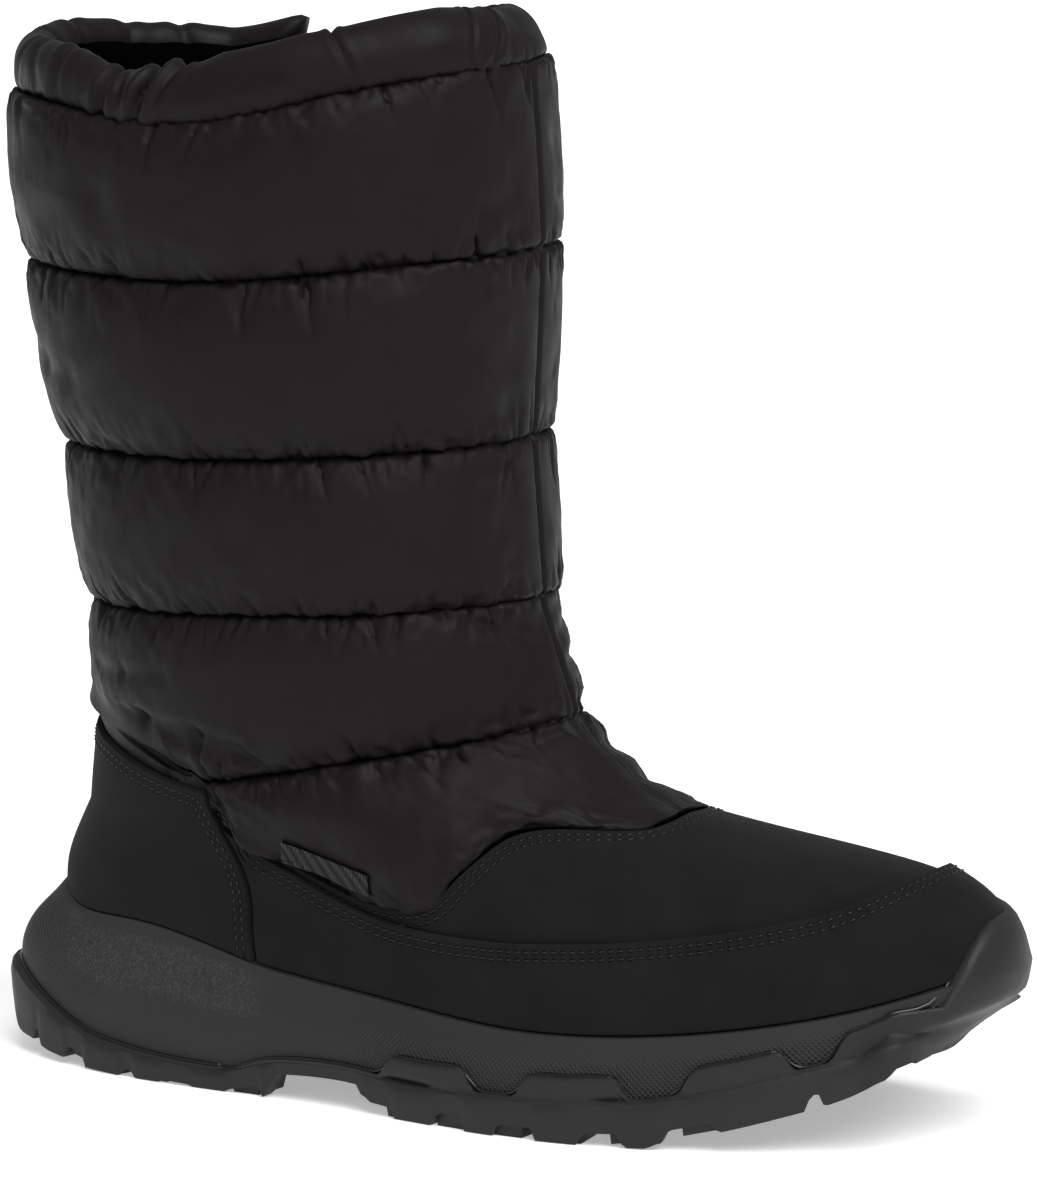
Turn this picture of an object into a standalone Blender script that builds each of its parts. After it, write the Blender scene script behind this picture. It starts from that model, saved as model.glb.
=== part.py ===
"""Right-foot winter boot: a quilted, padded shaft on a nubuck foot, over a foam midsole
and a lugged rubber outsole.

The boot stands on its lugs on the plane z = 0, with its toe along +X and its medial
(inner) side towards +Y. Everything is laid out from the back of the heel, x = 0, and an
empty then carries the whole boot so that the world origin is the middle of its footprint.
"""
from collections import namedtuple
from math import cos, pi, radians, sin

import bmesh
import bpy
import numpy as np
from mathutils import Matrix, Vector

MM = 0.001
GAP = 0.0003                # clearance between pieces that meet

# Driving sizes, in metres
SOLE_LENGTH = 0.3005        # midsole from heel bulge to toe, EU size 43
BALL_WIDTH = 0.112          # across the ball of the foot
HEEL_WIDTH = 0.083          # across the heel
INSTEP_HEIGHT = 0.105       # at the lowest seam of the quilting
SHAFT_WIDTH = 0.114         # across the top of the shaft
SHAFT_HEIGHT = 0.285        # to the front of the collar's seam
UPPER_WALL = 0.002          # nubuck with its backing
RAND_THICKNESS = 0.0016     # mudguard overlay
COUNTER_THICKNESS = 0.0022  # heel counter overlay
SHAFT_WALL = 0.008          # nylon, padding and plush lining
COLLAR_HEIGHT = 0.0145      # rolled hem of the shaft
INSOLE_THICKNESS = 0.0035
FOOTPRINT_CENTRE = Vector((0.149, 0.0, 0.0))

COLUMNS = 22                # mesh columns from toe to heel on each side

# One row for each ring of the boot's skin, in millimetres from the back of the heel.
# back and front are the ring's two ends on the centre line; bite is the share of the
# midsole's curved top line that the ring still follows; heel, waist and ball are half
# widths; blunt squares the ends off (2 is an ellipse); toe_in leans the front medially;
# droop is how far the ring hangs at its middle.
Ring = namedtuple("Ring", "back_x back_z front_x front_z bite heel waist ball blunt toe_in droop")
HEEL_X = -3.0
TOE_X = SOLE_LENGTH / MM + HEEL_X
BALL, HEEL, SHAFT = BALL_WIDTH / MM / 2, HEEL_WIDTH / MM / 2, SHAFT_WIDTH / MM / 2
INSTEP, TOP = INSTEP_HEIGHT / MM, SHAFT_HEIGHT / MM
SEAM_4, SEAM_3, SEAM_2, SEAM_1, COLLAR_SEAM = 9, 11, 12, 13, 14
RINGS = (
    # the foot, from the feather edge and the bite line up to the fourth seam
    Ring(18.0, 42.0, TOE_X - 5.5, 41.0, 1.00, HEEL - 8.0, 33.0, BALL - 8.0, 2.7, 8.0, 0),
    Ring(14.5, 50.0, TOE_X - 1.5, 48.5, 1.00, HEEL - 5.5, 35.0, BALL - 6.0, 2.7, 8.0, 0),
    Ring(14.5, 52.5, TOE_X - 4.0, 57.0, 0.90, HEEL - 5.0, 36.0, BALL - 5.5, 2.7, 8.0, 0),
    Ring(15.0, 55.5, TOE_X - 10.5, 65.0, 0.72, HEEL - 4.5, 37.0, BALL - 6.0, 2.6, 7.5, 0),
    Ring(16.0, 58.5, TOE_X - 22.5, 70.5, 0.55, HEEL - 4.0, 37.5, BALL - 7.5, 2.5, 7.0, 0),
    Ring(17.5, 61.5, TOE_X - 46.5, 74.0, 0.38, HEEL - 3.5, 38.5, BALL - 9.0, 2.3, 6.0, 0),
    Ring(19.5, 65.0, TOE_X - 72.5, 77.0, 0.22, HEEL - 3.0, 39.5, BALL - 11.0, 2.2, 5.0, 0),
    Ring(21.5, 68.5, TOE_X - 96.0, INSTEP - 23.5, 0.10, HEEL - 2.5, 40.5, BALL - 12.5, 2.15, 4.0, 0),
    Ring(23.5, 71.5, TOE_X - 114.5, INSTEP - 15.5, 0.04, HEEL - 1.5, 41.5, BALL - 13.0, 2.1, 3.0, 0),
    Ring(24.5, 75.0, TOE_X - 129.5, INSTEP, 0.0, HEEL, 43.0, BALL - 13.0, 2.1, 2.0, 0),
    # the ankle, and the third, second and first seams up to the collar's
    Ring(27.5, 101.0, 162.0, INSTEP + 19.0, 0.0, HEEL + 3.0, 45.5, SHAFT - 12.5, 2.05, 1.0, 0),
    Ring(25.5, 131.0, 161.0, 138.5, 0.0, SHAFT - 9.0, SHAFT - 8.5, SHAFT - 9.0, 2.0, 0.0, 0),
    Ring(18.5, 175.0, 157.5, 182.0, 0.0, SHAFT - 5.0, SHAFT - 4.5, SHAFT - 5.0, 2.0, 0.0, 1.0),
    Ring(7.2, TOP - 60.0, 160.0, TOP - 51.0, 0.0, SHAFT - 1.0, SHAFT - 0.5, SHAFT - 1.0, 2.0, 0.0, 3.5),
    Ring(3.0, TOP - 13.0, 156.5, TOP, 0.0, SHAFT, SHAFT + 0.5, SHAFT, 2.0, 0.0, 9.0),
)


def through(points):
    """Smooth curve through (x, y) points that never swings past them, held level past its ends."""
    xs, ys = np.array(points, dtype=float).T
    rates = np.diff(ys) / np.diff(xs)
    inner = [2 * a * b / (a + b) if a * b > 0 else 0.0 for a, b in zip(rates, rates[1:])]
    slopes = [rates[0]] + inner + [rates[-1]]

    def at(x):
        x = min(max(x, xs[0]), xs[-1])
        i = min(max(int(np.searchsorted(xs, x)) - 1, 0), len(xs) - 2)
        span = xs[i + 1] - xs[i]
        t = (x - xs[i]) / span
        rise = (3 - 2 * t) * t * t
        lean = t * (1 - t) * span * ((1 - t) * slopes[i] - t * slopes[i + 1])
        return ys[i] + (ys[i + 1] - ys[i]) * rise + lean

    return at


def ease(value, start, end):
    """0 before start, 1 after end, and a soft S between them."""
    t = min(max((value - start) / (end - start), 0.0), 1.0)
    return t * t * (3 - 2 * t)


# Heights along the boot, millimetres: the midsole's top line with its lip behind the
# heel, the joint line between midsole and outsole, and the lugs' undersides, which are
# flat under the heel and the ball and spring up at the toe.
bite_height = through((
    (4, 51), (14, 50), (22, 44), (30, 43), (51, 43.5), (68, 41), (90, 35.5), (118, 32), (142, 30), (170, 27.3),
    (201, 28), (228, 30.5), (253, 34.5), (272, 39), (289, 45), (300, 49)))
joint_height = through((
    (0, 24), (8, 20), (19, 15), (31, 10), (47, 7.3), (63, 6), (79, 5.6), (91, 7.5), (104, 11.5), (116, 12.5),
    (128, 9.5), (142, 9.3), (167, 10), (185, 10.3), (211, 12), (230, 15.5), (261, 24), (275, 29), (300, 41)))
ground_height = through((
    (0, 10), (12, 6.5), (26, 3.5), (38, 1.2), (45, 0), (95, 0), (136, 0), (200, 0), (209, 1), (220, 2.8),
    (239, 7.2), (264, 14.5), (289, 25), (303, 33)))

# The sole seen from above: its widest outline, and the smaller one of its bottom edge.
BELLY = Ring(HEEL_X, 0, TOE_X, 0, 0, HEEL, 40.0, BALL, 2.7, 8.0, 0)
BASE = Ring(HEEL_X + 2.0, 0, TOE_X - 2.5, 0, 0, HEEL - 3.5, 35.0, BALL - 2.5, 2.7, 8.0, 0)

# Where the pieces of the upper end, as ring levels against the mesh column, which is 0 at
# the toe and 22 at the back of the heel. Column 13 is the front edge of the counter, and
# one more column just in front of it catches the sharp turn of the quilt's lower edge.
CORNER = 13
BESIDE_CORNER = 12.6
CORNER_TURN, FOOT_TURN = 104.5, 118.0       # that edge's turn at the ankle and at the sole
FOOT_TURN_LEVEL = 3
mudguard_level = through(((0, 4.0), (2, 3.9), (3.5, 3.6), (5, 3.45), (8, 3.4), (10.4, 3.4), (11.35, 3.85),
                          (11.9, 4.9), (12.6, 6.4), (13, 7.3)))
quilt_level = through(((0, 7.05), (2, 6.9), (3.4, 6.75), (4.8, 7.15), (6.1, 7.1), (7.3, 6.5), (9.2, 5.1),
                       (10.4, 3.8), (11.35, 4.1), (11.9, 5.15), (12.6, 6.7), (13, 8.95), (14, 9.2),
                       (17.6, 9.75), (22, 10.05)))

# Quilting: how far the padding stands out between its stitched seams.
PUFF_SIDE, PUFF_BACK, PUFF_FRONT = 0.005, 0.003, 0.001
PILLOW_STEPS = (0.0, 0.1, 0.35, 0.65, 0.9)
ZIP_DIP = -0.0025           # the zip lies in a shallow channel on the medial side


def blended_ring(level):
    """The ring at any level between the rows of RINGS, with no corner at the rows."""
    level = min(max(level, 0.0), len(RINGS) - 1.0)
    row = min(int(level), len(RINGS) - 2)
    t = level - row
    weights = ((-t + 2 * t * t - t ** 3) / 2, (2 - 5 * t * t + 3 * t ** 3) / 2,
               (t + 4 * t * t - 3 * t ** 3) / 2, (t ** 3 - t * t) / 2)
    rows = [RINGS[min(max(row + shift, 0), len(RINGS) - 1)] for shift in (-1, 0, 1, 2)]
    return Ring(*(sum(w * value for w, value in zip(weights, column)) for column in zip(*rows)))


def ring_point(ring, turn, grow=0.0):
    """A point of a ring, in metres. turn is in radians from the toe, medial side positive."""
    c, s = cos(turn), sin(turn)
    medial = s >= 0
    along = (1 + c) / 2
    x = ring.back_x - grow + (ring.front_x - ring.back_x + 2 * grow) * along
    ball_share = ease(along, 0.30, 0.76) if medial else ease(along, 0.22, 0.66)
    arch_share = np.exp(-((along - 0.42) / 0.16) ** 2) * (1.0 if medial else 0.5)
    half = ring.heel + (ring.ball - ring.heel) * ball_share
    half += (ring.waist - (ring.heel + ring.ball) / 2) * arch_share + grow
    rounding = max(1 - abs(c) ** ring.blunt, 0.0) ** 0.5
    y = (half if medial else -half) * rounding + ring.toe_in * ease(along, 0.5, 1.0)
    chord = bite_height(ring.back_x) * (1 - along) + bite_height(ring.front_x) * along
    z = ring.back_z * (1 - along) + ring.front_z * along + ring.bite * (bite_height(x) - chord)
    z -= ring.droop * np.exp(-((along - 0.5) / 0.33) ** 2)
    return Vector((x, y, z)) * MM


def skin(turn, level, out=0.0):
    """The boot's outer skin at a turn and a level, moved out along its own normal."""
    point = ring_point(blended_ring(level), turn)
    if not out:
        return point
    nudge = 0.02
    around = ring_point(blended_ring(level), turn + nudge) - ring_point(blended_ring(level), turn - nudge)
    upward = ring_point(blended_ring(level + nudge), turn) - ring_point(blended_ring(level - nudge), turn)
    return point + around.cross(upward).normalized() * out


def column_turn(column, level):
    """Turn of a signed mesh column: the columns gather so that one is the counter's edge."""
    k = abs(column)
    climb = min(max((SEAM_4 - level) / (SEAM_4 - FOOT_TURN_LEVEL), 0.0), 1.0)
    edge = CORNER_TURN + (FOOT_TURN - CORNER_TURN) * climb
    turn = edge * k / CORNER if k <= CORNER else edge + (180 - edge) * (k - CORNER) / (COLUMNS - CORNER)
    return radians(turn if column >= 0 else -turn)


def skin_row(columns, level_of, out=0.0):
    """A row of points on the skin, one for each column, at that column's own level."""
    row = []
    for column in columns:
        level = level_of(abs(column))
        stand_out = out(column) if callable(out) else out
        row.append(skin(column_turn(column, level), level, stand_out))
    return row


def shared_level(low, high, share):
    """A level function a given share of the way between two others."""
    return lambda column: low(column) + (high(column) - low(column)) * share


def mesh_object(name, bm, colour, roughness):
    """Finish a bmesh as a named, smoothly shaded object with its own material."""
    bmesh.ops.recalc_face_normals(bm, faces=bm.faces)
    mesh = bpy.data.meshes.new(name)
    bm.to_mesh(mesh)
    bm.free()
    mesh.shade_smooth()
    mesh.set_sharp_from_angle(angle=radians(35))
    piece = bpy.data.objects.new(name, mesh)
    material = bpy.data.materials.new(name)
    material.use_nodes = True
    surface = material.node_tree.nodes["Principled BSDF"]
    surface.inputs["Base Color"].default_value = (*colour, 1.0)
    surface.inputs["Roughness"].default_value = roughness
    mesh.materials.append(material)
    boot.objects.link(piece)
    piece.parent = footprint
    return piece


def add_rows(bm, rows, closed):
    """Vertices for rows of points, and the quads between neighbouring rows."""
    grid = [[bm.verts.new(point) for point in row] for row in rows]
    for low, high in zip(grid, grid[1:]):
        count = len(low)
        for i in range(count if closed else count - 1):
            j = (i + 1) % count
            bm.faces.new((low[i], low[j], high[j], high[i]))
    return grid


def shell(name, outer, inner, colour, roughness, closed=True):
    """A wall between two surfaces of rows: a tube when closed, otherwise a strip with ends."""
    bm = bmesh.new()
    out_grid, in_grid = add_rows(bm, outer, closed), add_rows(bm, inner, closed)
    for out_row, in_row in ((out_grid[0], in_grid[0]), (out_grid[-1], in_grid[-1])):
        count = len(out_row)
        for i in range(count if closed else count - 1):
            j = (i + 1) % count
            bm.faces.new((out_row[i], out_row[j], in_row[j], in_row[i]))
    if not closed:
        for end in (0, -1):
            for k in range(len(out_grid) - 1):
                bm.faces.new((out_grid[k][end], out_grid[k + 1][end], in_grid[k + 1][end], in_grid[k][end]))
    return mesh_object(name, bm, colour, roughness)


def add_stack(bm, rings):
    """A solid through closed rings, its first and last ring laddered across in flat strips."""
    grid = add_rows(bm, rings, closed=True)
    half = len(rings[0]) // 2
    for ring in (grid[0], grid[-1]):
        bm.faces.new((ring[0], ring[1], ring[-1]))
        for i in range(1, half - 1):
            bm.faces.new((ring[i], ring[i + 1], ring[-i - 1], ring[-i]))
        bm.faces.new((ring[half - 1], ring[half], ring[half + 1]))


ONE_SIDE = sorted(list(range(1, COLUMNS)) + [BESIDE_CORNER])
ALL_ROUND = [0] + ONE_SIDE + [COLUMNS] + [-column for column in reversed(ONE_SIDE)]

for old_object in list(bpy.data.objects):
    bpy.data.objects.remove(old_object)
boot = bpy.data.collections.new("winter_boot")
cutters = bpy.data.collections.new("cutters")
bpy.context.scene.collection.children.link(boot)
bpy.context.scene.collection.children.link(cutters)
footprint = bpy.data.objects.new("footprint", None)
footprint.location = -FOOTPRINT_CENTRE
boot.objects.link(footprint)

BLACK_NUBUCK = (0.012, 0.012, 0.013)
BLACK_NYLON = (0.011, 0.010, 0.010)
CHARCOAL_FOAM = (0.022, 0.022, 0.023)
BLACK_RUBBER = (0.016, 0.016, 0.017)
BLACK_WEBBING = (0.010, 0.010, 0.011)
BLACK_ENAMEL = (0.02, 0.02, 0.02)


# Upper: the nubuck foot, hollow, open at its top edge and underneath.
UPPER_SHARES = (0.0, 0.22, 0.45, 0.7, 1.0)          # of the way from the bite line up


def bite_line(column):
    """The ring at which the upper goes down into the midsole."""
    return 1.0


NUBUCK_SHARE, RAND_SHARE = 0.985, 0.93              # of the climb that nubuck and mudguard may take
TOP_SHARES = (0.35, 0.7, 1.0)
nubuck_top = shared_level(bite_line, quilt_level, NUBUCK_SHARE)


def rand_top(column):
    """The mudguard's top edge, kept a little below the nubuck's own."""
    return min(mudguard_level(column), 1.0 + RAND_SHARE * (nubuck_top(column) - 1.0))


rand_rows = [shared_level(bite_line, rand_top, share) for share in UPPER_SHARES]
top_rows = [shared_level(rand_top, nubuck_top, share) for share in TOP_SHARES]
upper_rows = [lambda column: 0.0] + rand_rows + top_rows
upper_outside = [skin_row(ALL_ROUND, level) for level in upper_rows]
upper_inside = [skin_row(ALL_ROUND, level, -UPPER_WALL) for level in upper_rows]
shell("upper", upper_outside, upper_inside, BLACK_NUBUCK, 0.8)


# Overlays: the mudguard round the toe and the counter round the heel, each following the
# upper's own skin and ending just above the midsole.
OVERLAY_LIFT = 0.06         # of a level
END_CLEARANCE = 0.03        # of a column, between mudguard and counter


def overlay(name, columns, rows, thickness):
    """A nubuck overlay on the upper's own rows, its lowest edge lifted off the midsole."""
    lifted = [lambda column: rows[0](column) + OVERLAY_LIFT] + rows[1:]
    outer = [skin_row(columns, level, GAP + thickness) for level in lifted]
    inner = [skin_row(columns, level, GAP) for level in lifted]
    shell(name, outer, inner, BLACK_NUBUCK, 0.85, closed=False)


front = [column for column in ONE_SIDE if column < CORNER] + [CORNER - END_CLEARANCE]
rear = [CORNER + END_CLEARANCE] + [column for column in ONE_SIDE if column > CORNER]
front_columns = [-column for column in reversed(front)] + [0] + front
rear_columns = rear + [COLUMNS] + [-column for column in reversed(rear)]
overlay("mudguard", front_columns, rand_rows, RAND_THICKNESS)
overlay("heel_counter", rear_columns, rand_rows + top_rows, COUNTER_THICKNESS)


# Shaft: a padded, quilted tube with its five bands, from the nubuck's edge to the collar.
FRONT_SEAM_SHARE = 0.25                             # of the puff, at the seam up the front
FRONT_ENDS, SIDE_STARTS, BACK_STARTS = 2, 7, 15     # columns between which the puff changes
COUNTER_SEAM_RISE = 0.1                             # levels from the counter's edge to the next seam
SHAFT_INSIDE_SHARES = (0.0, 0.5)


def collar_level(column):
    """The ring of the collar's seam, the same all round."""
    return float(COLLAR_SEAM)


def seam_levels():
    """The stitched seams from the nubuck's edge up; behind the counter's corner the lowest
    band closes up against that edge."""
    fourth = lambda column: max(SEAM_4, quilt_level(column) + COUNTER_SEAM_RISE)
    level_seams = [lambda column, seam=seam: float(seam) for seam in (SEAM_3, SEAM_2, SEAM_1, COLLAR_SEAM)]
    return [quilt_level, fourth] + level_seams


def puff(column, share, band):
    """How far the padding stands out at a share of the way up a band."""
    if column in (CORNER, CORNER + 1):                  # the zip's channel, medial side only
        return ZIP_DIP
    k = abs(column)
    if band == 0 and k >= CORNER:
        return 0.0
    swell = PUFF_FRONT + (PUFF_SIDE - PUFF_FRONT) * ease(k, FRONT_ENDS, SIDE_STARTS)
    swell += (PUFF_BACK - PUFF_SIDE) * ease(k, BACK_STARTS, COLUMNS)
    if k == 0:
        swell *= FRONT_SEAM_SHARE                       # the front seam joins the two panels
    return swell * (4 * share * (1 - share)) ** 0.5


seams = seam_levels()
shaft_outside, shaft_inside = [], []
for band, (low, high) in enumerate(zip(seams, seams[1:])):
    for share in PILLOW_STEPS:
        level = shared_level(low, high, share)
        shaft_outside.append(skin_row(ALL_ROUND, level, lambda column: puff(column, share, band)))
    for share in SHAFT_INSIDE_SHARES:
        shaft_inside.append(skin_row(ALL_ROUND, shared_level(low, high, share), -SHAFT_WALL))
shaft_outside.append(skin_row(ALL_ROUND, collar_level, lambda column: puff(column, 0, 4)))
shaft_inside.append(skin_row(ALL_ROUND, collar_level, -SHAFT_WALL))
shell("shaft", shaft_outside, shaft_inside, BLACK_NYLON, 0.55)


# Collar: the rolled hem on top of the shaft, open where the zip comes up between its ends.
COLLAR_PROFILE_POINTS = 10
COLLAR_THICKNESS = 0.012
COLLAR_LEAN = 0.45          # of its height, inwards
COLLAR_OVERHANG = 0.001     # how far the roll stands out past the seam

bm = bmesh.new()
collar_columns = list(range(CORNER + 1, COLUMNS + 1)) + list(range(1 - COLUMNS, CORNER + 1))
hoops = []
for column in collar_columns:
    rim = skin(column_turn(column, COLLAR_SEAM), COLLAR_SEAM)
    outward = skin(column_turn(column, COLLAR_SEAM), COLLAR_SEAM, 1.0) - rim
    outward = Vector((outward.x, outward.y, 0)).normalized()
    middle = rim + outward * (COLLAR_OVERHANG - COLLAR_THICKNESS / 2)
    middle.z += GAP + COLLAR_HEIGHT / 2
    turns = [2 * pi * k / COLLAR_PROFILE_POINTS for k in range(COLLAR_PROFILE_POINTS)]
    upright = (Vector((0, 0, 1)) - outward * COLLAR_LEAN) * (COLLAR_HEIGHT / 2)
    hoops.append([middle + outward * (COLLAR_THICKNESS / 2 * cos(t)) + upright * sin(t) for t in turns])
grid = add_rows(bm, hoops, closed=True)
bm.faces.new(grid[0])
bm.faces.new(grid[-1])
mesh_object("collar", bm, BLACK_NYLON, 0.55)


# Midsole: a moulded foam cup. It rises from its bottom edge over the bulging sidewall to a
# lip round the upper, and inside the lip drops to the floor that the upper stands on.
MIDSOLE_SHARES = (0.0, 0.25, 0.55, 0.8)             # of the way from bottom edge to lip
MIDSOLE_SWELL = (0.85, 1.0, 0.75, 0.25)             # how near each is to the widest outline
LIP_THICKNESS = 0.0025


def side_point(turn, share, out=0.0):
    """A point of the midsole's side at a share of its height, moved outwards from above."""
    low, wide, lip = ring_point(BASE, turn), ring_point(BELLY, turn), skin(turn, 1.0, LIP_THICKNESS + GAP)
    edge = low.lerp(wide, MIDSOLE_SWELL[0])
    swell = np.interp(share, MIDSOLE_SHARES + (1.0,), MIDSOLE_SWELL + (0.0,))
    place = (low if share < 0.5 else lip).lerp(wide, swell)
    bottom = joint_height(edge.x / MM) * MM
    ahead, behind = ring_point(BELLY, turn + 0.02), ring_point(BELLY, turn - 0.02)
    normal = Vector((ahead.y - behind.y, behind.x - ahead.x, 0)).normalized()
    return Vector((place.x, place.y, bottom + (lip.z - bottom) * share)) + normal * out


def cup_floor(drop, grow):
    """The feather edge's own outline, let down by the drop."""
    row = []
    for column in ALL_ROUND:
        point = ring_point(RINGS[0], column_turn(column, 0), grow / MM)
        row.append(point - Vector((0, 0, drop)))
    return row


bm = bmesh.new()
foot_turns = [column_turn(column, 0) for column in ALL_ROUND]
midsole_rings = [[side_point(turn, share) for turn in foot_turns] for share in MIDSOLE_SHARES]
lip_outside = skin_row(ALL_ROUND, bite_line, LIP_THICKNESS + GAP)
lip_inside = skin_row(ALL_ROUND, bite_line, GAP)
add_stack(bm, midsole_rings + [lip_outside, lip_inside, cup_floor(GAP, 2 * GAP)])
mesh_object("midsole", bm, CHARCOAL_FOAM, 0.7)


# Insole: a soft footbed on the midsole's floor, inside the upper.
INSOLE_INSET = UPPER_WALL + 0.001
bm = bmesh.new()
add_stack(bm, [cup_floor(-rise, -INSOLE_INSET) for rise in (GAP, GAP + INSOLE_THICKNESS)])
mesh_object("insole", bm, (0.03, 0.03, 0.03), 0.9)


# Outsole: a rubber plate under the midsole, with tabs that climb its side, a bumper over
# the toe, and lugs. All of it is one moulding, so the pieces are joined into one solid.
PLATE_OVERHANG = 0.0015
PLATE_BEVEL = 0.001
PLATE_THICKNESS = 0.004
TAB_THICKNESS = 0.0022
TAB_RISE = 0.0075
PAD_CLEARANCE = 2 * GAP     # the midsole's flat facets stand a little proud in the waist
TAB_FOOT = 0.7              # of the plate's thickness that a tab reaches down into it
TAB_STATIONS = 6
TAB_END_SLOPE = 0.35        # of its rise that a tab has at its two ends
LATERAL_TABS = ((133, 157), (182, 205), (233, 257), (272, 286))      # millimetres along the boot
MEDIAL_TABS = ((152, 174), (194, 216), (236, 257), (267, 281))


def plate_height(x):
    """Underside of the plate, between the joint line and the ground."""
    return max((joint_height(x) + ground_height(x)) / 2, joint_height(x) - PLATE_THICKNESS / MM)


def turn_at(ring, x, medial):
    """The turn at which a ring is x millimetres from the back of the heel."""
    along = min(max((x - ring.back_x) / (ring.front_x - ring.back_x), 0.0), 1.0)
    turn = np.arccos(2 * along - 1)
    return turn if medial else -turn


def add_pad(bm, inner, outer):
    """A closed pad between two surfaces of rows."""
    in_grid, out_grid = add_rows(bm, inner, False), add_rows(bm, outer, False)
    for a, b in ((in_grid[0], out_grid[0]), (in_grid[-1], out_grid[-1])):
        for i in range(len(a) - 1):
            bm.faces.new((a[i], a[i + 1], b[i + 1], b[i]))
    for end in (0, -1):
        for k in range(len(in_grid) - 1):
            bm.faces.new((in_grid[k][end], in_grid[k + 1][end], out_grid[k + 1][end], out_grid[k][end]))


def loose_mesh(name, bm):
    """A cutter or a piece still to be joined: it is hidden and stays out of the boot."""
    bmesh.ops.recalc_face_normals(bm, faces=bm.faces)
    mesh = bpy.data.meshes.new(name)
    bm.to_mesh(mesh)
    bm.free()
    tool = bpy.data.objects.new(name, mesh)
    tool.hide_render = True
    tool.display_type = "WIRE"
    cutters.objects.link(tool)
    tool.parent = footprint
    return tool


def join(piece, tool, operation="UNION"):
    """Join a loose mesh to a piece, or cut it away."""
    joint = piece.modifiers.new(tool.name, "BOOLEAN")
    joint.object = tool
    joint.operation = operation
    joint.use_self = True


def side_tab(name, start, end, medial):
    """A tab with sloping ends that climbs the midsole's side from the plate."""
    bm = bmesh.new()
    columns = []
    for station, x in enumerate(np.linspace(start, end, TAB_STATIONS)):
        turn = turn_at(BELLY, x, medial)
        wall = skin(turn, 1.0).z - joint_height(x) * MM
        top = TAB_RISE / wall * (TAB_END_SLOPE if station in (0, TAB_STATIONS - 1) else 1.0)
        columns.append((turn, (0.0, min(MIDSOLE_SHARES[1], 0.6 * top), top)))
    surfaces = []
    for out in (PAD_CLEARANCE, PAD_CLEARANCE + TAB_THICKNESS):
        rows = [[side_point(turn, shares[row], out) for turn, shares in columns] for row in range(3)]
        surfaces.append([[point - Vector((0, 0, PLATE_THICKNESS * TAB_FOOT)) for point in rows[0]]] + rows)
    add_pad(bm, *surfaces)
    return loose_mesh(name, bm)


LUG_ROOT = 0.001            # how far a lug reaches into the plate
LUG_REACH = 6               # millimetres to each side over which a lug takes up the toe spring
LUG_TAPER = 0.86            # of its width that a lug keeps at the ground
HEEL_LUGS = (14, 29, 44, 59, 74, 89)
BALL_LUGS = (141, 158, 175, 192, 210, 229, 248, 266, 283)
HEEL_LUG_LENGTH, BALL_LUG_LENGTH, LUG_WIDTH = 0.0095, 0.0115, 0.014
CENTRE_LUG, CENTRE_SHIFT = 0.011, 0.002             # size of the lugs up the middle, and their way medially


def add_lug(bm, x, y, yaw, length, width):
    """A tapered lug from the plate down to the ground, leaning with the toe spring."""
    behind, ahead = ground_height(x - LUG_REACH), ground_height(x + LUG_REACH)
    top, bottom = plate_height(x) * MM + LUG_ROOT, (behind + ahead) / 2 * MM
    slope = (ahead - behind) / (2 * LUG_REACH)
    place = Matrix.Translation((x * MM, y, (top + bottom) / 2))
    shear = Matrix.Identity(4)
    shear[2][0] = slope
    sizes = Matrix.Diagonal((length / 2 ** 0.5, width / 2 ** 0.5, 1, 1))
    square = Matrix.Rotation(pi / 4, 4, "Z")
    bmesh.ops.create_cone(bm, cap_ends=True, segments=4, radius1=LUG_TAPER, radius2=1.0, depth=top - bottom,
                          matrix=place @ shear @ Matrix.Rotation(yaw, 4, "Z") @ sizes @ square)


lugs = bmesh.new()
for stations, length in ((HEEL_LUGS, HEEL_LUG_LENGTH), (BALL_LUGS, BALL_LUG_LENGTH)):
    for x in stations:
        for medial in (True, False):
            turn = turn_at(BASE, x, medial)
            edge, ahead = side_point(turn, 0.0, 0.0), side_point(turn + 0.02, 0.0, 0.0)
            yaw = np.arctan2(ahead.y - edge.y, ahead.x - edge.x)
            inward = Vector((-sin(yaw), cos(yaw), 0)) * (LUG_WIDTH / 2 - PLATE_OVERHANG)
            add_lug(lugs, (edge + inward).x / MM, (edge + inward).y, yaw, length, LUG_WIDTH)
for stations in (HEEL_LUGS[2:], BALL_LUGS[:-1]):
    for x, beside in zip(stations, stations[1:]):
        for y in (-CENTRE_LUG, CENTRE_LUG):
            add_lug(lugs, (x + beside) / 2, y + CENTRE_SHIFT, 0.0, CENTRE_LUG, CENTRE_LUG)
lug_tool = loose_mesh("lugs", lugs)


def plate_ring(height_of, out):
    """The plate's outline, which keeps to the midsole's bottom edge."""
    points = []
    for column in ALL_ROUND:
        turn = column_turn(column, 0)
        point = side_point(turn, 0.0, out)
        point.z = height_of(side_point(turn, 0.0).x / MM) * MM
        points.append(point)
    return points


def plate_top(x):
    """Top of the plate, just under the midsole."""
    return joint_height(x) - GAP / MM


bm = bmesh.new()
add_stack(bm, [plate_ring(plate_height, -PLATE_BEVEL), plate_ring(plate_height, PLATE_OVERHANG),
               plate_ring(plate_top, PLATE_OVERHANG)])
outsole = mesh_object("outsole", bm, BLACK_RUBBER, 0.45)
join(outsole, lug_tool)
for side, spans in (("lateral", LATERAL_TABS), ("medial", MEDIAL_TABS)):
    for number, (start, end) in enumerate(spans):
        join(outsole, side_tab(f"{side}_tab_{number}", start, end, side == "medial"))


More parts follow.
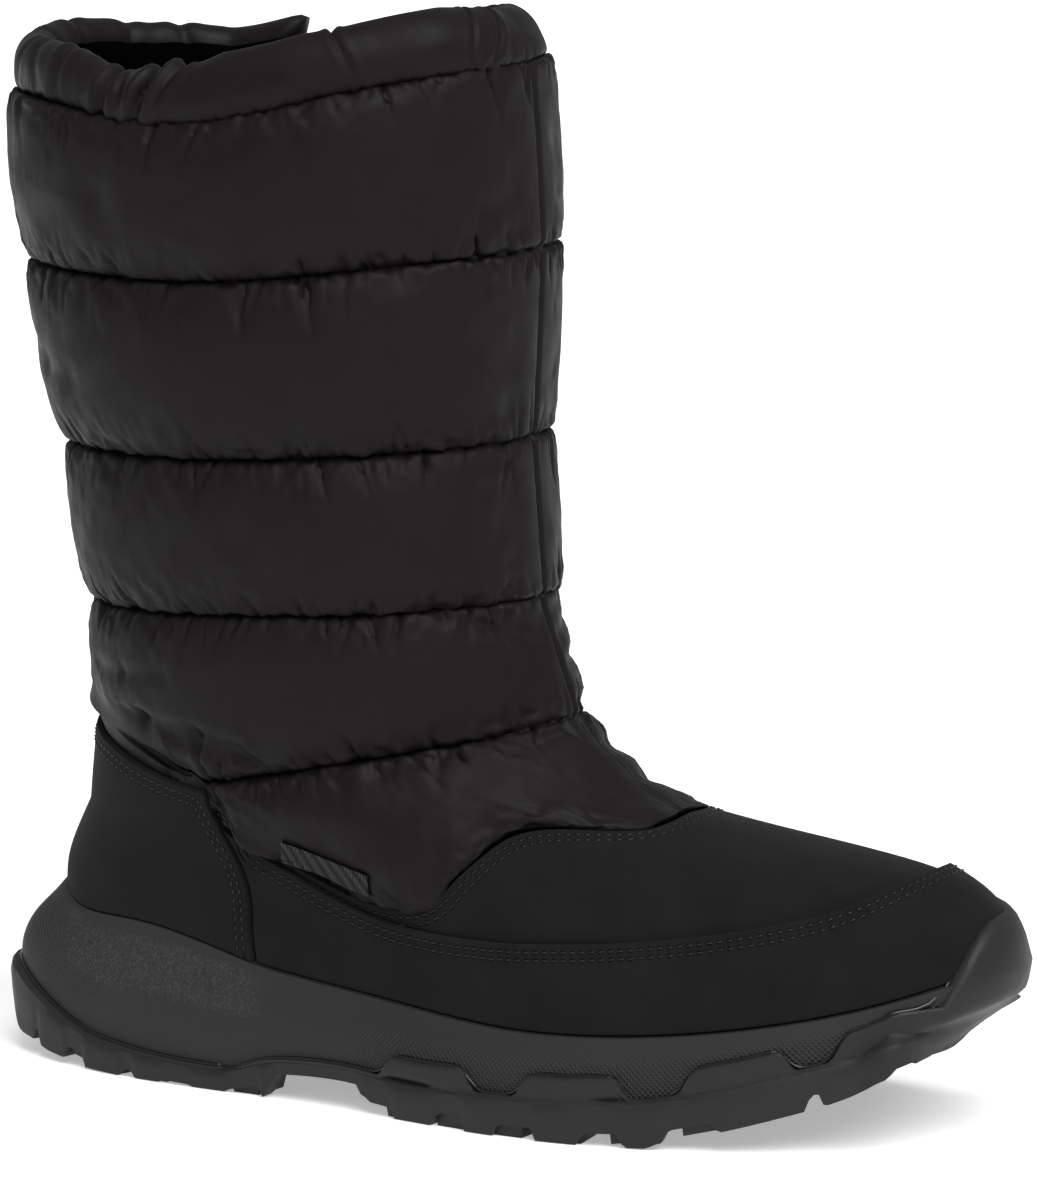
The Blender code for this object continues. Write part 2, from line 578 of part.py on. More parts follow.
# Toe bumper: the outsole's front turned up over the midsole and the toe of the mudguard.
BUMPER_TURNS = np.radians(np.linspace(-19, 24, 9))
BUMPER_THICKNESS = 0.0032
BUMPER_TUCK, BUMPER_FOOT = 0.002, 0.8               # how its foot goes back and down into the plate
BUMPER_LEVELS = (1.3, 1.8, 2.3)                     # ring levels of its rows over the mudguard
BUMPER_END = 1.1                                    # ring level that those rows fall to at its ends
BUMPER_FALL = np.radians((11, 22))                  # turns from its middle between which they fall
BUMPER_FALL_SHARE = 0.9
BUMPER_LIFT = RAND_THICKNESS + 2 * GAP + LIP_THICKNESS * 0.3


def bumper_rows(lift):
    """Rows of the bumper's inner face, moved outwards by a lift."""
    rows = []
    for share in MIDSOLE_SHARES:
        rows.append([side_point(turn, share, PAD_CLEARANCE + lift) for turn in BUMPER_TURNS])
    for level in BUMPER_LEVELS:
        row = []
        for turn in BUMPER_TURNS:
            kept = 1.0 - ease(abs(turn - BUMPER_TURNS.mean()), *BUMPER_FALL) * BUMPER_FALL_SHARE
            row.append(skin(turn, BUMPER_END + (level - BUMPER_END) * kept, BUMPER_LIFT + lift))
        rows.append(row)
    foot = [point - Vector((BUMPER_TUCK, 0, PLATE_THICKNESS * BUMPER_FOOT)) for point in rows[0]]
    return [foot] + rows


bm = bmesh.new()
add_pad(bm, bumper_rows(0.0), bumper_rows(BUMPER_THICKNESS))
join(outsole, loose_mesh("bumper", bm))


# Heel tab: a stub of webbing caught in the counter's top edge at the back seam.
def pad_strip(name, columns, rows, thickness, colour, roughness):
    """A thin strip over the quilt; each row is a level and how far its inner face stands out."""
    surfaces = [[[skin(column_turn(column, level(column)), level(column), out + lift) for column in columns]
                 for level, out in rows] for lift in (thickness, 0.0)]
    return shell(name, *surfaces, colour, roughness, closed=False)


HEEL_TAB_COLUMNS = (21.0, 21.5, 22, -21.5, -21.0)
HEEL_TAB_ROWS = ((10.17, 0.0034), (10.4, 0.0036), (10.7, 0.0043))      # ring level, and distance out
HEEL_TAB_THICKNESS = 0.0013
heel_tab_rows = [(lambda column, level=level: level, out) for level, out in HEEL_TAB_ROWS]
pad_strip("heel_tab", HEEL_TAB_COLUMNS, heel_tab_rows, HEEL_TAB_THICKNESS, BLACK_WEBBING, 0.8)


# Side label: a bare woven tab standing in the seam above the mudguard, lateral side.
LABEL_COLUMNS = tuple(np.linspace(-11.75, -10.75, 4))
LABEL_FOOT, LABEL_SLOPE = 4.5, 1.55                 # ring level of its toe end, and its rise for each column
LABEL_ROWS = ((0.0, 0.0048), (0.5, 0.0055), (1.0, 0.0058))     # rise above its bottom edge, distance out
LABEL_THICKNESS = 0.0008


def label_level(rise):
    """A level along the label's own slope, a rise above its bottom edge."""
    return lambda column: LABEL_FOOT + (abs(column) + LABEL_COLUMNS[-1]) * LABEL_SLOPE + rise


label_rows = [(label_level(rise), out) for rise, out in LABEL_ROWS]
pad_strip("side_label", LABEL_COLUMNS, label_rows, LABEL_THICKNESS, BLACK_WEBBING, 0.7)


# Zip: a coil zip up the medial side, sewn into the channel between the two panels.
ZIP_COLUMN = CORNER + 0.5
ZIP_COLUMNS = (CORNER + 0.15, CORNER + 0.36, CORNER + 0.64, CORNER + 0.85)
ZIP_SEAT = ZIP_DIP + 0.0004                         # inner face of the tape, out from the skin
TAPE_THICKNESS, COIL_THICKNESS = 0.0009, 0.0019
ZIP_ABOVE_COLLAR_SEAM = (0.006, 0.012)


def zip_face(outs):
    """Rows of the zip, bottom stop to top end, with each column at its own distance out."""
    rows = []
    for band, (low, high) in enumerate(zip(seams[1:], seams[2:])):
        for share in PILLOW_STEPS[1 if band == 0 else 0:]:
            level = shared_level(low, high, share)
            rows.append([skin(column_turn(column, level(column)), level(column), out)
                         for column, out in zip(ZIP_COLUMNS, outs)])
    top = [skin(column_turn(column, COLLAR_SEAM), COLLAR_SEAM, out) for column, out in zip(ZIP_COLUMNS, outs)]
    rows.append(top)
    outward = zip_outward()
    for rise in ZIP_ABOVE_COLLAR_SEAM:
        rows.append([point + Vector((0, 0, rise)) - outward * (COLLAR_LEAN * rise * 0.5) for point in top])
    return rows


def zip_outward():
    """The level direction that the zip's top faces."""
    turn = column_turn(ZIP_COLUMN, COLLAR_SEAM)
    facing = skin(turn, COLLAR_SEAM, 1.0) - skin(turn, COLLAR_SEAM)
    return Vector((facing.x, facing.y, 0)).normalized()


coil_outs = (TAPE_THICKNESS, COIL_THICKNESS, COIL_THICKNESS, TAPE_THICKNESS)
shell("zip", zip_face([ZIP_SEAT + out for out in coil_outs]), zip_face([ZIP_SEAT] * len(ZIP_COLUMNS)),
      BLACK_WEBBING, 0.6, closed=False)


# Slider and pull: the slider stands closed at the top, and its pull swings on a pin.
SLIDER_LEVEL = 13.72
SLIDER_SIZE = Vector((0.0026, 0.0085, 0.011))
SLIDER_BEVEL = 0.0006
CHEEK_SIZE = Vector((0.0032, 0.0011, 0.0032))
CHEEK_SPACING = 0.0044
ROOT = 0.0004                               # how far a joined piece reaches into the next
PIN_RADIUS = 0.0006
PIN_OUT, PIN_UP = 0.0018, 0.0034            # of the pin, from the slider's face and middle
EYE_RADIUS, EYE_BORE, EYE_WIDTH = 0.0016, 0.00095, 0.0025
PULL_LENGTH, PULL_WIDTH, PULL_THICKNESS = 0.023, 0.0055, 0.0013
SHANK_LENGTH = 0.0045


def add_box(bm, size, centre):
    """A box of a given size about its centre."""
    corner = Matrix.Translation(centre) @ Matrix.Diagonal((*size, 1))
    return bmesh.ops.create_cube(bm, size=1.0, matrix=corner)


def add_rod(bm, radius, length, segments=12):
    """A rod along Y through the origin."""
    lie = Matrix.Rotation(pi / 2, 4, "X")
    bmesh.ops.create_cone(bm, cap_ends=True, segments=segments, radius1=radius, radius2=radius, depth=length,
                          matrix=lie)


def on_slider(name, add, place):
    """A loose mesh made by a builder, standing where the slider does."""
    bm = bmesh.new()
    add(bm)
    tool = loose_mesh(name, bm)
    tool.matrix_local = place
    return tool


zip_turn = column_turn(ZIP_COLUMN, SLIDER_LEVEL)
outward = zip_outward()
seat = skin(zip_turn, SLIDER_LEVEL, ZIP_SEAT + COIL_THICKNESS + 2 * GAP)
facing = Matrix.Rotation(np.arctan2(outward.y, outward.x), 4, "Z")
slider_place = Matrix.Translation(seat + outward * (SLIDER_SIZE.x / 2)) @ facing
pin_place = slider_place @ Matrix.Translation((SLIDER_SIZE.x / 2 + PIN_OUT, 0, PIN_UP))

bm = bmesh.new()
add_box(bm, SLIDER_SIZE, (0, 0, 0))
bmesh.ops.bevel(bm, geom=bm.edges[:], offset=SLIDER_BEVEL, segments=1, affect="EDGES")
slider = mesh_object("zip_slider", bm, BLACK_ENAMEL, 0.35)
slider.matrix_local = slider_place
for side in (-1, 1):
    cheek_middle = (SLIDER_SIZE.x / 2 + CHEEK_SIZE.x / 2 - ROOT, side * CHEEK_SPACING / 2, PIN_UP)
    join(slider, on_slider(f"cheek_{side}", lambda bm: add_box(bm, CHEEK_SIZE, cheek_middle), slider_place))
join(slider, on_slider("pin", lambda bm: add_rod(bm, PIN_RADIUS, CHEEK_SPACING), pin_place))

bm = bmesh.new()
add_rod(bm, EYE_RADIUS, EYE_WIDTH)
pull = mesh_object("zip_pull", bm, BLACK_ENAMEL, 0.35)
pull.matrix_local = pin_place
shank_middle = (0, 0, -(EYE_BORE + SHANK_LENGTH) / 2)
shank = Vector((PULL_THICKNESS, EYE_WIDTH, SHANK_LENGTH - EYE_BORE + ROOT))
tab = Vector((PULL_THICKNESS, PULL_WIDTH, PULL_LENGTH - SHANK_LENGTH))
join(pull, on_slider("shank", lambda bm: add_box(bm, shank, shank_middle), pin_place))
join(pull, on_slider("tab", lambda bm: add_box(bm, tab, (0, 0, -SHANK_LENGTH - tab.z / 2)), pin_place))
join(pull, on_slider("bore", lambda bm: add_rod(bm, EYE_BORE, 2 * EYE_WIDTH), pin_place), "DIFFERENCE")
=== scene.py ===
"""The looks of a right-foot winter boot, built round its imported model: quilted nylon shaft
with a rolled collar and a side zip, nubuck foot, foam midsole and lugged rubber outsole."""
from math import cos, pi, radians, sin, sqrt

import bmesh
import bpy
import numpy as np
from mathutils import Matrix, Vector
from mathutils.bvhtree import BVHTree
from mathutils.kdtree import KDTree


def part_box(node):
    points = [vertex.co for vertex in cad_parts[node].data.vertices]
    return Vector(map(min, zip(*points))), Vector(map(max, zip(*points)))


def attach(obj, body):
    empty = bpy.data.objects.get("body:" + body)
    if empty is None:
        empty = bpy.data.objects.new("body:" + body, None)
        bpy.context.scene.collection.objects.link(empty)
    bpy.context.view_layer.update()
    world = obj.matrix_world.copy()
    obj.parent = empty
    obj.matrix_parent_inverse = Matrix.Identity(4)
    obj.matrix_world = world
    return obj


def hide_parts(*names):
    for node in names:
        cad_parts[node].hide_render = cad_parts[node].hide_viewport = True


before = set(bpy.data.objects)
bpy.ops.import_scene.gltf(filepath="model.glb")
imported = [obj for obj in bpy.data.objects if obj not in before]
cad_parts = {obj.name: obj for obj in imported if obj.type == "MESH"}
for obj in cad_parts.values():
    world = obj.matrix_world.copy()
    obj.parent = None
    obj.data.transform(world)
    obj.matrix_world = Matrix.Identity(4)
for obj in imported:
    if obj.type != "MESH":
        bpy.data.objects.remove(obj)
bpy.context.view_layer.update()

bpy.ops.object.select_all(action="DESELECT")
scene = bpy.context.scene


# ---------------------------------------------------------------- studio
# A pale seamless sweep under soft boxes. The camera looks down a little on the boot's outer
# side, from far off, so that its lines hardly converge.
def linear(hex_colour):
    """An sRGB hex colour as the linear red, green, blue and alpha that a shader takes."""
    channels = [int(hex_colour[i:i + 2], 16) / 255 for i in (1, 3, 5)]
    return [c / 12.92 if c <= 0.04045 else ((c + 0.055) / 1.055) ** 2.4 for c in channels] + [1.0]


def add_node(material, kind, inputs=None, **settings):
    """Add a shader node; an input's value is a number, a colour or another node's output."""
    node = material.node_tree.nodes.new(kind)
    for name, value in settings.items():
        setattr(node, name, value)
    for name, value in (inputs or {}).items():
        socket = node.inputs[name]
        if isinstance(value, bpy.types.NodeSocket):
            material.node_tree.links.new(value, socket)
        else:
            socket.default_value = value
    return node


def new_material(name):
    """A material with nothing but its output node."""
    material = bpy.data.materials.new(name)
    material.use_nodes = True
    material.node_tree.nodes.remove(material.node_tree.nodes["Principled BSDF"])
    return material


def finish_material(material, shader):
    """Send a shader to the material's surface."""
    output = material.node_tree.nodes["Material Output"]
    material.node_tree.links.new(shader.outputs[0], output.inputs["Surface"])
    return material


def noise(material, place, scale, detail, **inputs):
    """A noise texture's value."""
    inputs = {"Vector": place, "Scale": scale, "Detail": detail, **inputs}
    return add_node(material, "ShaderNodeTexNoise", inputs).outputs["Fac"]


def ribs_of(material, place, scale, direction):
    """A wave texture's value: even ribs in one direction."""
    return add_node(material, "ShaderNodeTexWave", {"Vector": place, "Scale": scale}, wave_type="BANDS",
                    bands_direction=direction, wave_profile="SIN").outputs["Fac"]


def maths(material, operation, *values):
    """The result of a math node."""
    return add_node(material, "ShaderNodeMath", dict(enumerate(values)), operation=operation).outputs[0]


def blend(material, factor, first, second):
    """A colour between two others."""
    inputs = {"Factor": factor, "A": first, "B": second}
    return add_node(material, "ShaderNodeMix", inputs, data_type="RGBA").outputs["Result"]


def ranged(material, value, start, end, low=0.0, high=1.0):
    """A value mapped from one range to another."""
    return add_node(material, "ShaderNodeMapRange", {"Value": value, "From Min": start, "From Max": end,
                                                     "To Min": low, "To Max": high}).outputs["Result"]


def bump(material, height, strength, distance, over=None, **settings):
    """The normal of a bumped surface, over another bump's normal where one is given."""
    inputs = {"Height": height, "Strength": strength, "Distance": distance}
    if over is not None:
        inputs["Normal"] = over
    return add_node(material, "ShaderNodeBump", inputs, **settings).outputs["Normal"]


def surfaced(material, colour, roughness, specular, more=None):
    """Finish a material with a principled surface."""
    inputs = {"Base Color": colour, "Roughness": roughness, "Specular IOR Level": specular, **(more or {})}
    return finish_material(material, add_node(material, "ShaderNodeBsdfPrincipled", inputs))


FLOOR_SIZE, FLOOR_GLOW = 8.0, 0.38
paper = new_material("seamless_background_paper")
surfaced(paper, linear("#f4f4f4"), 1.0, 0.0,
         {"Emission Color": (1.0, 1.0, 1.0, 1.0), "Emission Strength": FLOOR_GLOW})
bpy.ops.mesh.primitive_plane_add(size=FLOOR_SIZE)
floor = bpy.context.object
floor.name = "floor"
floor.data.materials.append(paper)

SKY_STRENGTH, SUN_STRENGTH, SUN_SPREAD = 0.45, 2.8, radians(48.0)
TOWARDS_SUN = Vector((0.66, -0.52, 1.12))
world = bpy.data.worlds.new("studio")
world.use_nodes = True
world.node_tree.nodes["Background"].inputs["Color"].default_value = (1.0, 1.0, 1.0, 1.0)
world.node_tree.nodes["Background"].inputs["Strength"].default_value = SKY_STRENGTH
scene.world = world
scene.view_settings.view_transform = "Standard"
lamp = bpy.data.lights.new("large_soft_box", "SUN")
lamp.energy, lamp.angle = SUN_STRENGTH, SUN_SPREAD
soft_box = bpy.data.objects.new("large_soft_box", lamp)
scene.collection.objects.link(soft_box)
soft_box.rotation_euler = TOWARDS_SUN.to_track_quat("Z", "Y").to_euler()

# The camera
CAMERA_AZIMUTH, CAMERA_ELEVATION = radians(27.0), radians(9.5)
CAMERA_DISTANCE = 2.4
CAMERA_AIM = Vector((0.0035, 0.0, 0.1364))
LENS, SENSOR = 264.2, 36.0
lens = bpy.data.cameras.new("camera")
lens.sensor_fit = "VERTICAL"
lens.sensor_height = SENSOR
lens.lens = LENS
camera = bpy.data.objects.new("camera", lens)
scene.collection.objects.link(camera)
back = Vector((sin(CAMERA_AZIMUTH) * cos(CAMERA_ELEVATION), -cos(CAMERA_AZIMUTH) * cos(CAMERA_ELEVATION),
               sin(CAMERA_ELEVATION)))
camera.location = CAMERA_AIM + back * CAMERA_DISTANCE
camera.rotation_euler = (-back).to_track_quat("-Z", "Y").to_euler()
scene.camera = camera


# ---------------------------------------------------------------- outsole
# A moulded rubber outsole: a thin plate with chamfered lugs below it, tabs lapping up the
# midsole's side and a bumper over the toe. It is cemented to the foam.
def cad_copy(node, name):
    """A new piece with a CAD node's faces, joined up and paired into quads where they can be."""
    bpy.ops.object.select_all(action="DESELECT")
    piece = bpy.data.objects.new(name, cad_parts[node].data.copy())
    piece.data.materials.clear()
    scene.collection.objects.link(piece)
    piece.select_set(True)
    bpy.context.view_layer.objects.active = piece
    bpy.ops.mesh.customdata_custom_splitnormals_clear()
    bpy.ops.object.mode_set(mode="EDIT")
    bpy.ops.mesh.select_all(action="SELECT")
    bpy.ops.mesh.remove_doubles(threshold=1e-6)
    bpy.ops.mesh.tris_convert_to_quads(face_threshold=radians(40), shape_threshold=radians(180))
    bpy.ops.object.mode_set(mode="OBJECT")
    return piece


def worked(piece, kind, **settings):
    """Give a piece one modifier and apply it."""
    bpy.context.view_layer.objects.active = piece
    modifier = piece.modifiers.new(kind.lower(), kind)
    for name, value in settings.items():
        setattr(modifier, name, value)
    bpy.ops.object.modifier_apply(modifier=modifier.name)


def new_piece(name, points, faces, turn_out=True):
    """A new piece with these points and faces, its faces turned outward unless they are already."""
    mesh = bpy.data.meshes.new(name)
    mesh.from_pydata(points.reshape(-1, 3).tolist(), [], faces)
    if turn_out:
        bm = bmesh.new()
        bm.from_mesh(mesh)
        bmesh.ops.recalc_face_normals(bm, faces=bm.faces)
        bm.to_mesh(mesh)
        bm.free()
    piece = bpy.data.objects.new(name, mesh)
    scene.collection.objects.link(piece)
    return piece


def grid_faces(rows, columns):
    """The faces between a grid's closed rings."""
    at = lambda i, j: i * columns + j % columns
    return [(at(i, j), at(i + 1, j), at(i + 1, j + 1), at(i, j + 1))
            for i in range(rows - 1) for j in range(columns)]


def loop_faces(rows, columns):
    """The faces of a grid that closes both ways."""
    at = lambda i, j: i % rows * columns + j % columns
    return [(at(i, j), at(i, j + 1), at(i + 1, j + 1), at(i + 1, j))
            for i in range(rows) for j in range(columns)]


def rounded(piece, width, segments, angle):
    """Round a piece's edges that are sharper than an angle."""
    worked(piece, "BEVEL", width=width, segments=segments, limit_method="ANGLE", angle_limit=radians(angle))


def smooth(piece, angle):
    """Shade a piece smooth, apart from edges sharper than an angle."""
    bpy.ops.object.select_all(action="DESELECT")
    piece.select_set(True)
    bpy.context.view_layer.objects.active = piece
    bpy.ops.object.shade_smooth_by_angle(angle=radians(angle))


RUBBER_EDGE = 0.0005

# Carbon-black rubber from a steel mould: even and dull, with a fine grain and a few paler smears
# where it has been rubbed.
outsole_rubber = new_material("moulded_outsole_rubber")
place = add_node(outsole_rubber, "ShaderNodeTexCoord").outputs["Object"]
smears = noise(outsole_rubber, place, 45.0, 5.0, Roughness=0.65)
grit = noise(outsole_rubber, place, 1400.0, 2.0, Roughness=0.6)
tint = blend(outsole_rubber, smears, linear("#171718"), linear("#262627"))
rough = ranged(outsole_rubber, smears, 0.3, 0.7, 0.42, 0.62)
surfaced(outsole_rubber, tint, rough, 0.25, {"Normal": bump(outsole_rubber, grit, 0.5, 0.0001)})

outsole = cad_copy("outsole", "lugged_outsole")
rounded(outsole, RUBBER_EDGE, 2, 35)
smooth(outsole, 40)
outsole.data.materials.append(outsole_rubber)
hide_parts("outsole")
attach(outsole, "boot")


# ---------------------------------------------------------------- midsole
# A thick moulded EVA foam midsole, with a raised lip round its top that cups the upper.
def crease_sharp(piece, angle):
    """Crease every edge sharper than an angle, so that subdivision keeps it."""
    bpy.context.view_layer.objects.active = piece
    bpy.ops.object.mode_set(mode="EDIT")
    bpy.ops.mesh.select_mode(type="EDGE")
    bpy.ops.mesh.select_all(action="DESELECT")
    bpy.ops.mesh.edges_select_sharp(sharpness=radians(angle))
    bpy.ops.transform.edge_crease(value=1.0)
    bpy.ops.object.mode_set(mode="OBJECT")


midsole = cad_copy("midsole", "foam_midsole")
crease_sharp(midsole, 50)
worked(midsole, "SUBSURF", levels=2, render_levels=2)
smooth(midsole, 50)

def unit(vectors):
    """Vectors with their lengths made 1."""
    return vectors / np.linalg.norm(vectors, axis=-1, keepdims=True)


def soft_step(share):
    """A share from 0 to 1 with soft ends."""
    return share * share * (3 - 2 * share)


def travelled(points):
    """How far along a line of points each one lies."""
    return np.concatenate([[0], np.cumsum(np.linalg.norm(np.diff(points, axis=0), axis=1))])


# The mould leaves a diamond hatch low on the side at the ball and toe and in a patch at the heel,
# a coarse spark-eroded grain high on the heel, and is smooth elsewhere.
HATCH_STEP, GRAIN_STEP = 0.0011, 0.0005
BALL_HATCH, HEEL_HATCH, HEEL_GRAIN = (-0.022, 0.138), (-0.140, -0.112), (-0.134, -0.052)
side = np.array([v.co for v in midsole.data.vertices])
stations = np.linspace(side[:, 0].min(), side[:, 0].max(), 60)
near = [np.abs(side[:, 0] - x) < 0.006 for x in stations]
floor_z = np.interp(side[:, 0], stations, [side[n, 2].min() for n in near])
roof_z = np.interp(side[:, 0], stations, [np.percentile(side[n, 2], 98) for n in near])
rise = (side[:, 2] - floor_z) / (roof_z - floor_z)


def span(values, start, end, soft):
    """1 between two values, falling softly to 0 outside them."""
    return soft_step(np.clip(np.minimum(values - start, end - values) / soft + 0.5, 0, 1))


hatched = (span(side[:, 0], *BALL_HATCH, 0.02) * span(rise, -1.0, 0.62, 0.25)
           + span(side[:, 0], *HEEL_HATCH, 0.012) * span(rise, 0.28, 0.66, 0.2))
grained = span(side[:, 0], *HEEL_GRAIN, 0.02) * span(rise, 0.42, 0.93, 0.15)
for label, values in (("hatched", hatched), ("grained", grained)):
    midsole.data.attributes.new(label, "FLOAT", "POINT").data.foreach_set("value", values.astype(np.float32))

eva_foam = new_material("moulded_eva_foam")
place = add_node(eva_foam, "ShaderNodeTexCoord").outputs["Object"]
hatch_mask = add_node(eva_foam, "ShaderNodeAttribute", attribute_name="hatched").outputs["Fac"]
grain_mask = add_node(eva_foam, "ShaderNodeAttribute", attribute_name="grained").outputs["Fac"]
ribs = []
for turn_by in (45.0, -45.0):
    inputs = {"Vector": place, "Rotation": (0.0, radians(turn_by), 0.0)}
    turned = add_node(eva_foam, "ShaderNodeMapping", inputs)
    ribs.append(ribs_of(eva_foam, turned.outputs["Vector"], pi / 10 / HATCH_STEP, "X"))
hatch = maths(eva_foam, "MULTIPLY", maths(eva_foam, "MULTIPLY", *ribs), hatch_mask)
speckle_grain_and_highlight = maths(eva_foam, "MULTIPLY", noise(eva_foam, place, 0.6 / GRAIN_STEP, 2.0, Roughness=0.7), grain_mask)
tint = blend(eva_foam, noise(eva_foam, place, 28.0, 3.0), linear("#1c1c1d"), linear("#252526"))
# Painted highlight: the heel grain's specks are painted paler in the colour; the grain is also a real bump
# below.
tint = blend(eva_foam, ranged(eva_foam, speckle_grain_and_highlight, 0.45, 0.7), tint, linear("#38383a"))
bumps = bump(eva_foam, noise(eva_foam, place, 1300.0, 2.0), 0.4, 0.00008)
bumps = bump(eva_foam, speckle_grain_and_highlight, 0.8, 0.0003, bumps)
bumps = bump(eva_foam, hatch, 0.9, 0.00045, bumps)
surfaced(eva_foam, tint, 0.62, 0.3, {"Normal": bumps})
midsole.data.materials.append(eva_foam)
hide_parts("midsole")
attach(midsole, "boot")


# ---------------------------------------------------------------- outsole side wall
# The rim of the outsole: rubber that turns up against the foam in a wavy line with soft tabs, and
# down into the chamfered outer faces of the lugs. A bead of black cement shines along its top; it
# is made thick and near black as painted shade for the dark gap between rubber and foam.
SIDE_STEPS, SIDE_ROWS, LUG_ROWS, LUG_REACH = 14, 12, 6, 12
WALL_THICKNESS, RIM_RISE, TAB_HEIGHT, TAB_RAMP = 0.0019, 0.0010, 0.0074, 0.0050
LATERAL_TABS = ((-0.0115, 0.0128), (0.0326, 0.0587), (0.0785, 0.1015), (0.1165, 0.150))
MEDIAL_TABS = ((0.002, 0.026), (0.044, 0.068), (0.086, 0.109), (0.119, 0.150))
LATERAL_NOTCHES = (      # along the boot, half width and share of the lug's depth that it cuts
    (-0.1340, 0.0009, 0.5), (-0.1185, 0.0034, 0.8), (-0.0995, 0.0022, 1.0), (-0.0830, 0.0050, 0.7),
    (-0.0605, 0.0055, 0.8), (-0.0150, 0.0050, 0.6), (0.0092, 0.0048, 0.84), (0.0300, 0.0056, 0.63),
    (0.0545, 0.0056, 0.55), (0.0785, 0.0065, 0.5), (0.1095, 0.0016, 0.7), (0.1305, 0.0022, 0.6))
MEDIAL_NOTCHES = (
    (-0.1300, 0.0012, 0.6), (-0.1130, 0.0034, 0.8), (-0.0940, 0.0022, 1.0), (-0.0780, 0.0050, 0.7),
    (-0.0560, 0.0055, 0.8), (0.0020, 0.0048, 0.84), (0.0250, 0.0056, 0.63), (0.0490, 0.0056, 0.55),
    (0.0740, 0.0065, 0.5), (0.1050, 0.0016, 0.7), (0.1260, 0.0022, 0.6))
ARCH, ARCH_EDGE = (-0.0515, -0.0200), 0.0032          # where the waist is clear of the ground
BUMPER_MIDDLE, BUMPER_ENDS, BUMPER_CORNERS = 0.085, (-18.0, 48.0), (27.0, 14.0)      # degrees round the toe
BUMPER_TOP, BUMPER_THICKNESS, BUMPER_BELLY, BUMPER_LIP = 0.0604, 0.0031, 0.0020, 0.0014
RUBBER_INSET, RIM_PROUD = 0.0014, 0.0024
TOE_DEPTHS = (           # how far the lugs reach below the plate under the springing toe
    (0.058, 0.0110), (0.070, 0.0070), (0.112, 0.0061), (0.123, 0.0052), (0.128, 0.0040), (0.132, 0.0029),
    (0.150, 0.0020))
TOE_LIFTS = (            # degrees round the toe, and how much less deep the rubber is there
    (-4.0, 0.0), (9.0, 0.0028), (20.0, 0.0040), (40.0, 0.0055), (60.0, 0.0045), (100.0, 0.0))


def averaged(values, times, axis=0):
    """Values round a closed ring, each drawn towards its neighbours."""
    for _ in range(times):
        values = (np.roll(values, 1, axis) + 2 * values + np.roll(values, -1, axis)) / 4
    return values


def finer(ring, steps):
    """A closed ring with this many steps for each of its own, along a smooth curve."""
    t = np.arange(steps) / steps
    weights = ((-t + 2 * t * t - t ** 3) / 2, (2 - 5 * t * t + 3 * t ** 3) / 2,
               (t + 4 * t * t - 3 * t ** 3) / 2, (t ** 3 - t * t) / 2)
    near = [np.roll(ring, s, axis=0) for s in (1, 0, -1, -2)]
    return sum(w[None, :, None] * p[:, None, :] for w, p in zip(weights, near)).reshape(-1, 3)


def foam_edge():
    """The corner round the foam's underside, as a closed ring of points from the toe."""
    bm = bmesh.new()
    bm.from_mesh(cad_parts["midsole"].data)
    bmesh.ops.remove_doubles(bm, verts=bm.verts, dist=1e-6)
    under = {f for f in bm.faces if f.normal.z < -0.75 and f.calc_center_median().z < 0.03}
    corner = {v for e in bm.edges if len([f for f in e.link_faces if f in under]) == 1 for v in e.verts}
    walk = [max(corner, key=lambda v: (round(v.co.x, 5), v.co.y))]
    while True:
        ahead = sorted((v for e in walk[-1].link_edges if len([f for f in e.link_faces if f in under]) == 1
                        for v in [e.other_vert(walk[-1])] if v not in walk), key=lambda v: v.co.y)
        if not ahead:
            break
        walk.append(ahead[0])
    points = np.array([v.co for v in walk])
    bm.free()
    return points


edge_points = foam_edge()
x, y = edge_points.T[:2]
if np.sum(x * np.roll(y, -1) - y * np.roll(x, -1)) < 0:
    edge_points = edge_points[::-1]
rim = finer(edge_points, SIDE_STEPS)
rim_ahead = np.roll(rim, -3, 0) - np.roll(rim, 3, 0)
rim_out = unit(np.stack([rim_ahead[:, 1], -rim_ahead[:, 0], rim_ahead[:, 0] * 0], axis=1))


def tabbed(x, spans):
    """How far up the rubber climbs at a place along the boot."""
    best = np.zeros_like(x)
    for start, end in spans:
        share = np.clip(np.minimum(x - start + TAB_RAMP * 0.8, end + TAB_RAMP * 0.8 - x) / TAB_RAMP, 0, 1)
        best = np.maximum(best, soft_step(share))
    return RIM_RISE + (TAB_HEIGHT - RIM_RISE) * best


def notched(x, cuts):
    """The share of a lug's depth that is cut away at a place along the boot."""
    best = np.zeros_like(x)
    for middle, half, depth in cuts:
        share = np.clip((half + 0.0007 - np.abs(x - middle)) / 0.0014, 0, 1)
        best = np.maximum(best, share * depth)
    return best


def surface_of(data):
    """A mesh's faces, ready for rays to be cast at them."""
    bm = bmesh.new()
    bm.from_mesh(data)
    surface = BVHTree.FromBMesh(bm)
    bm.free()
    return surface


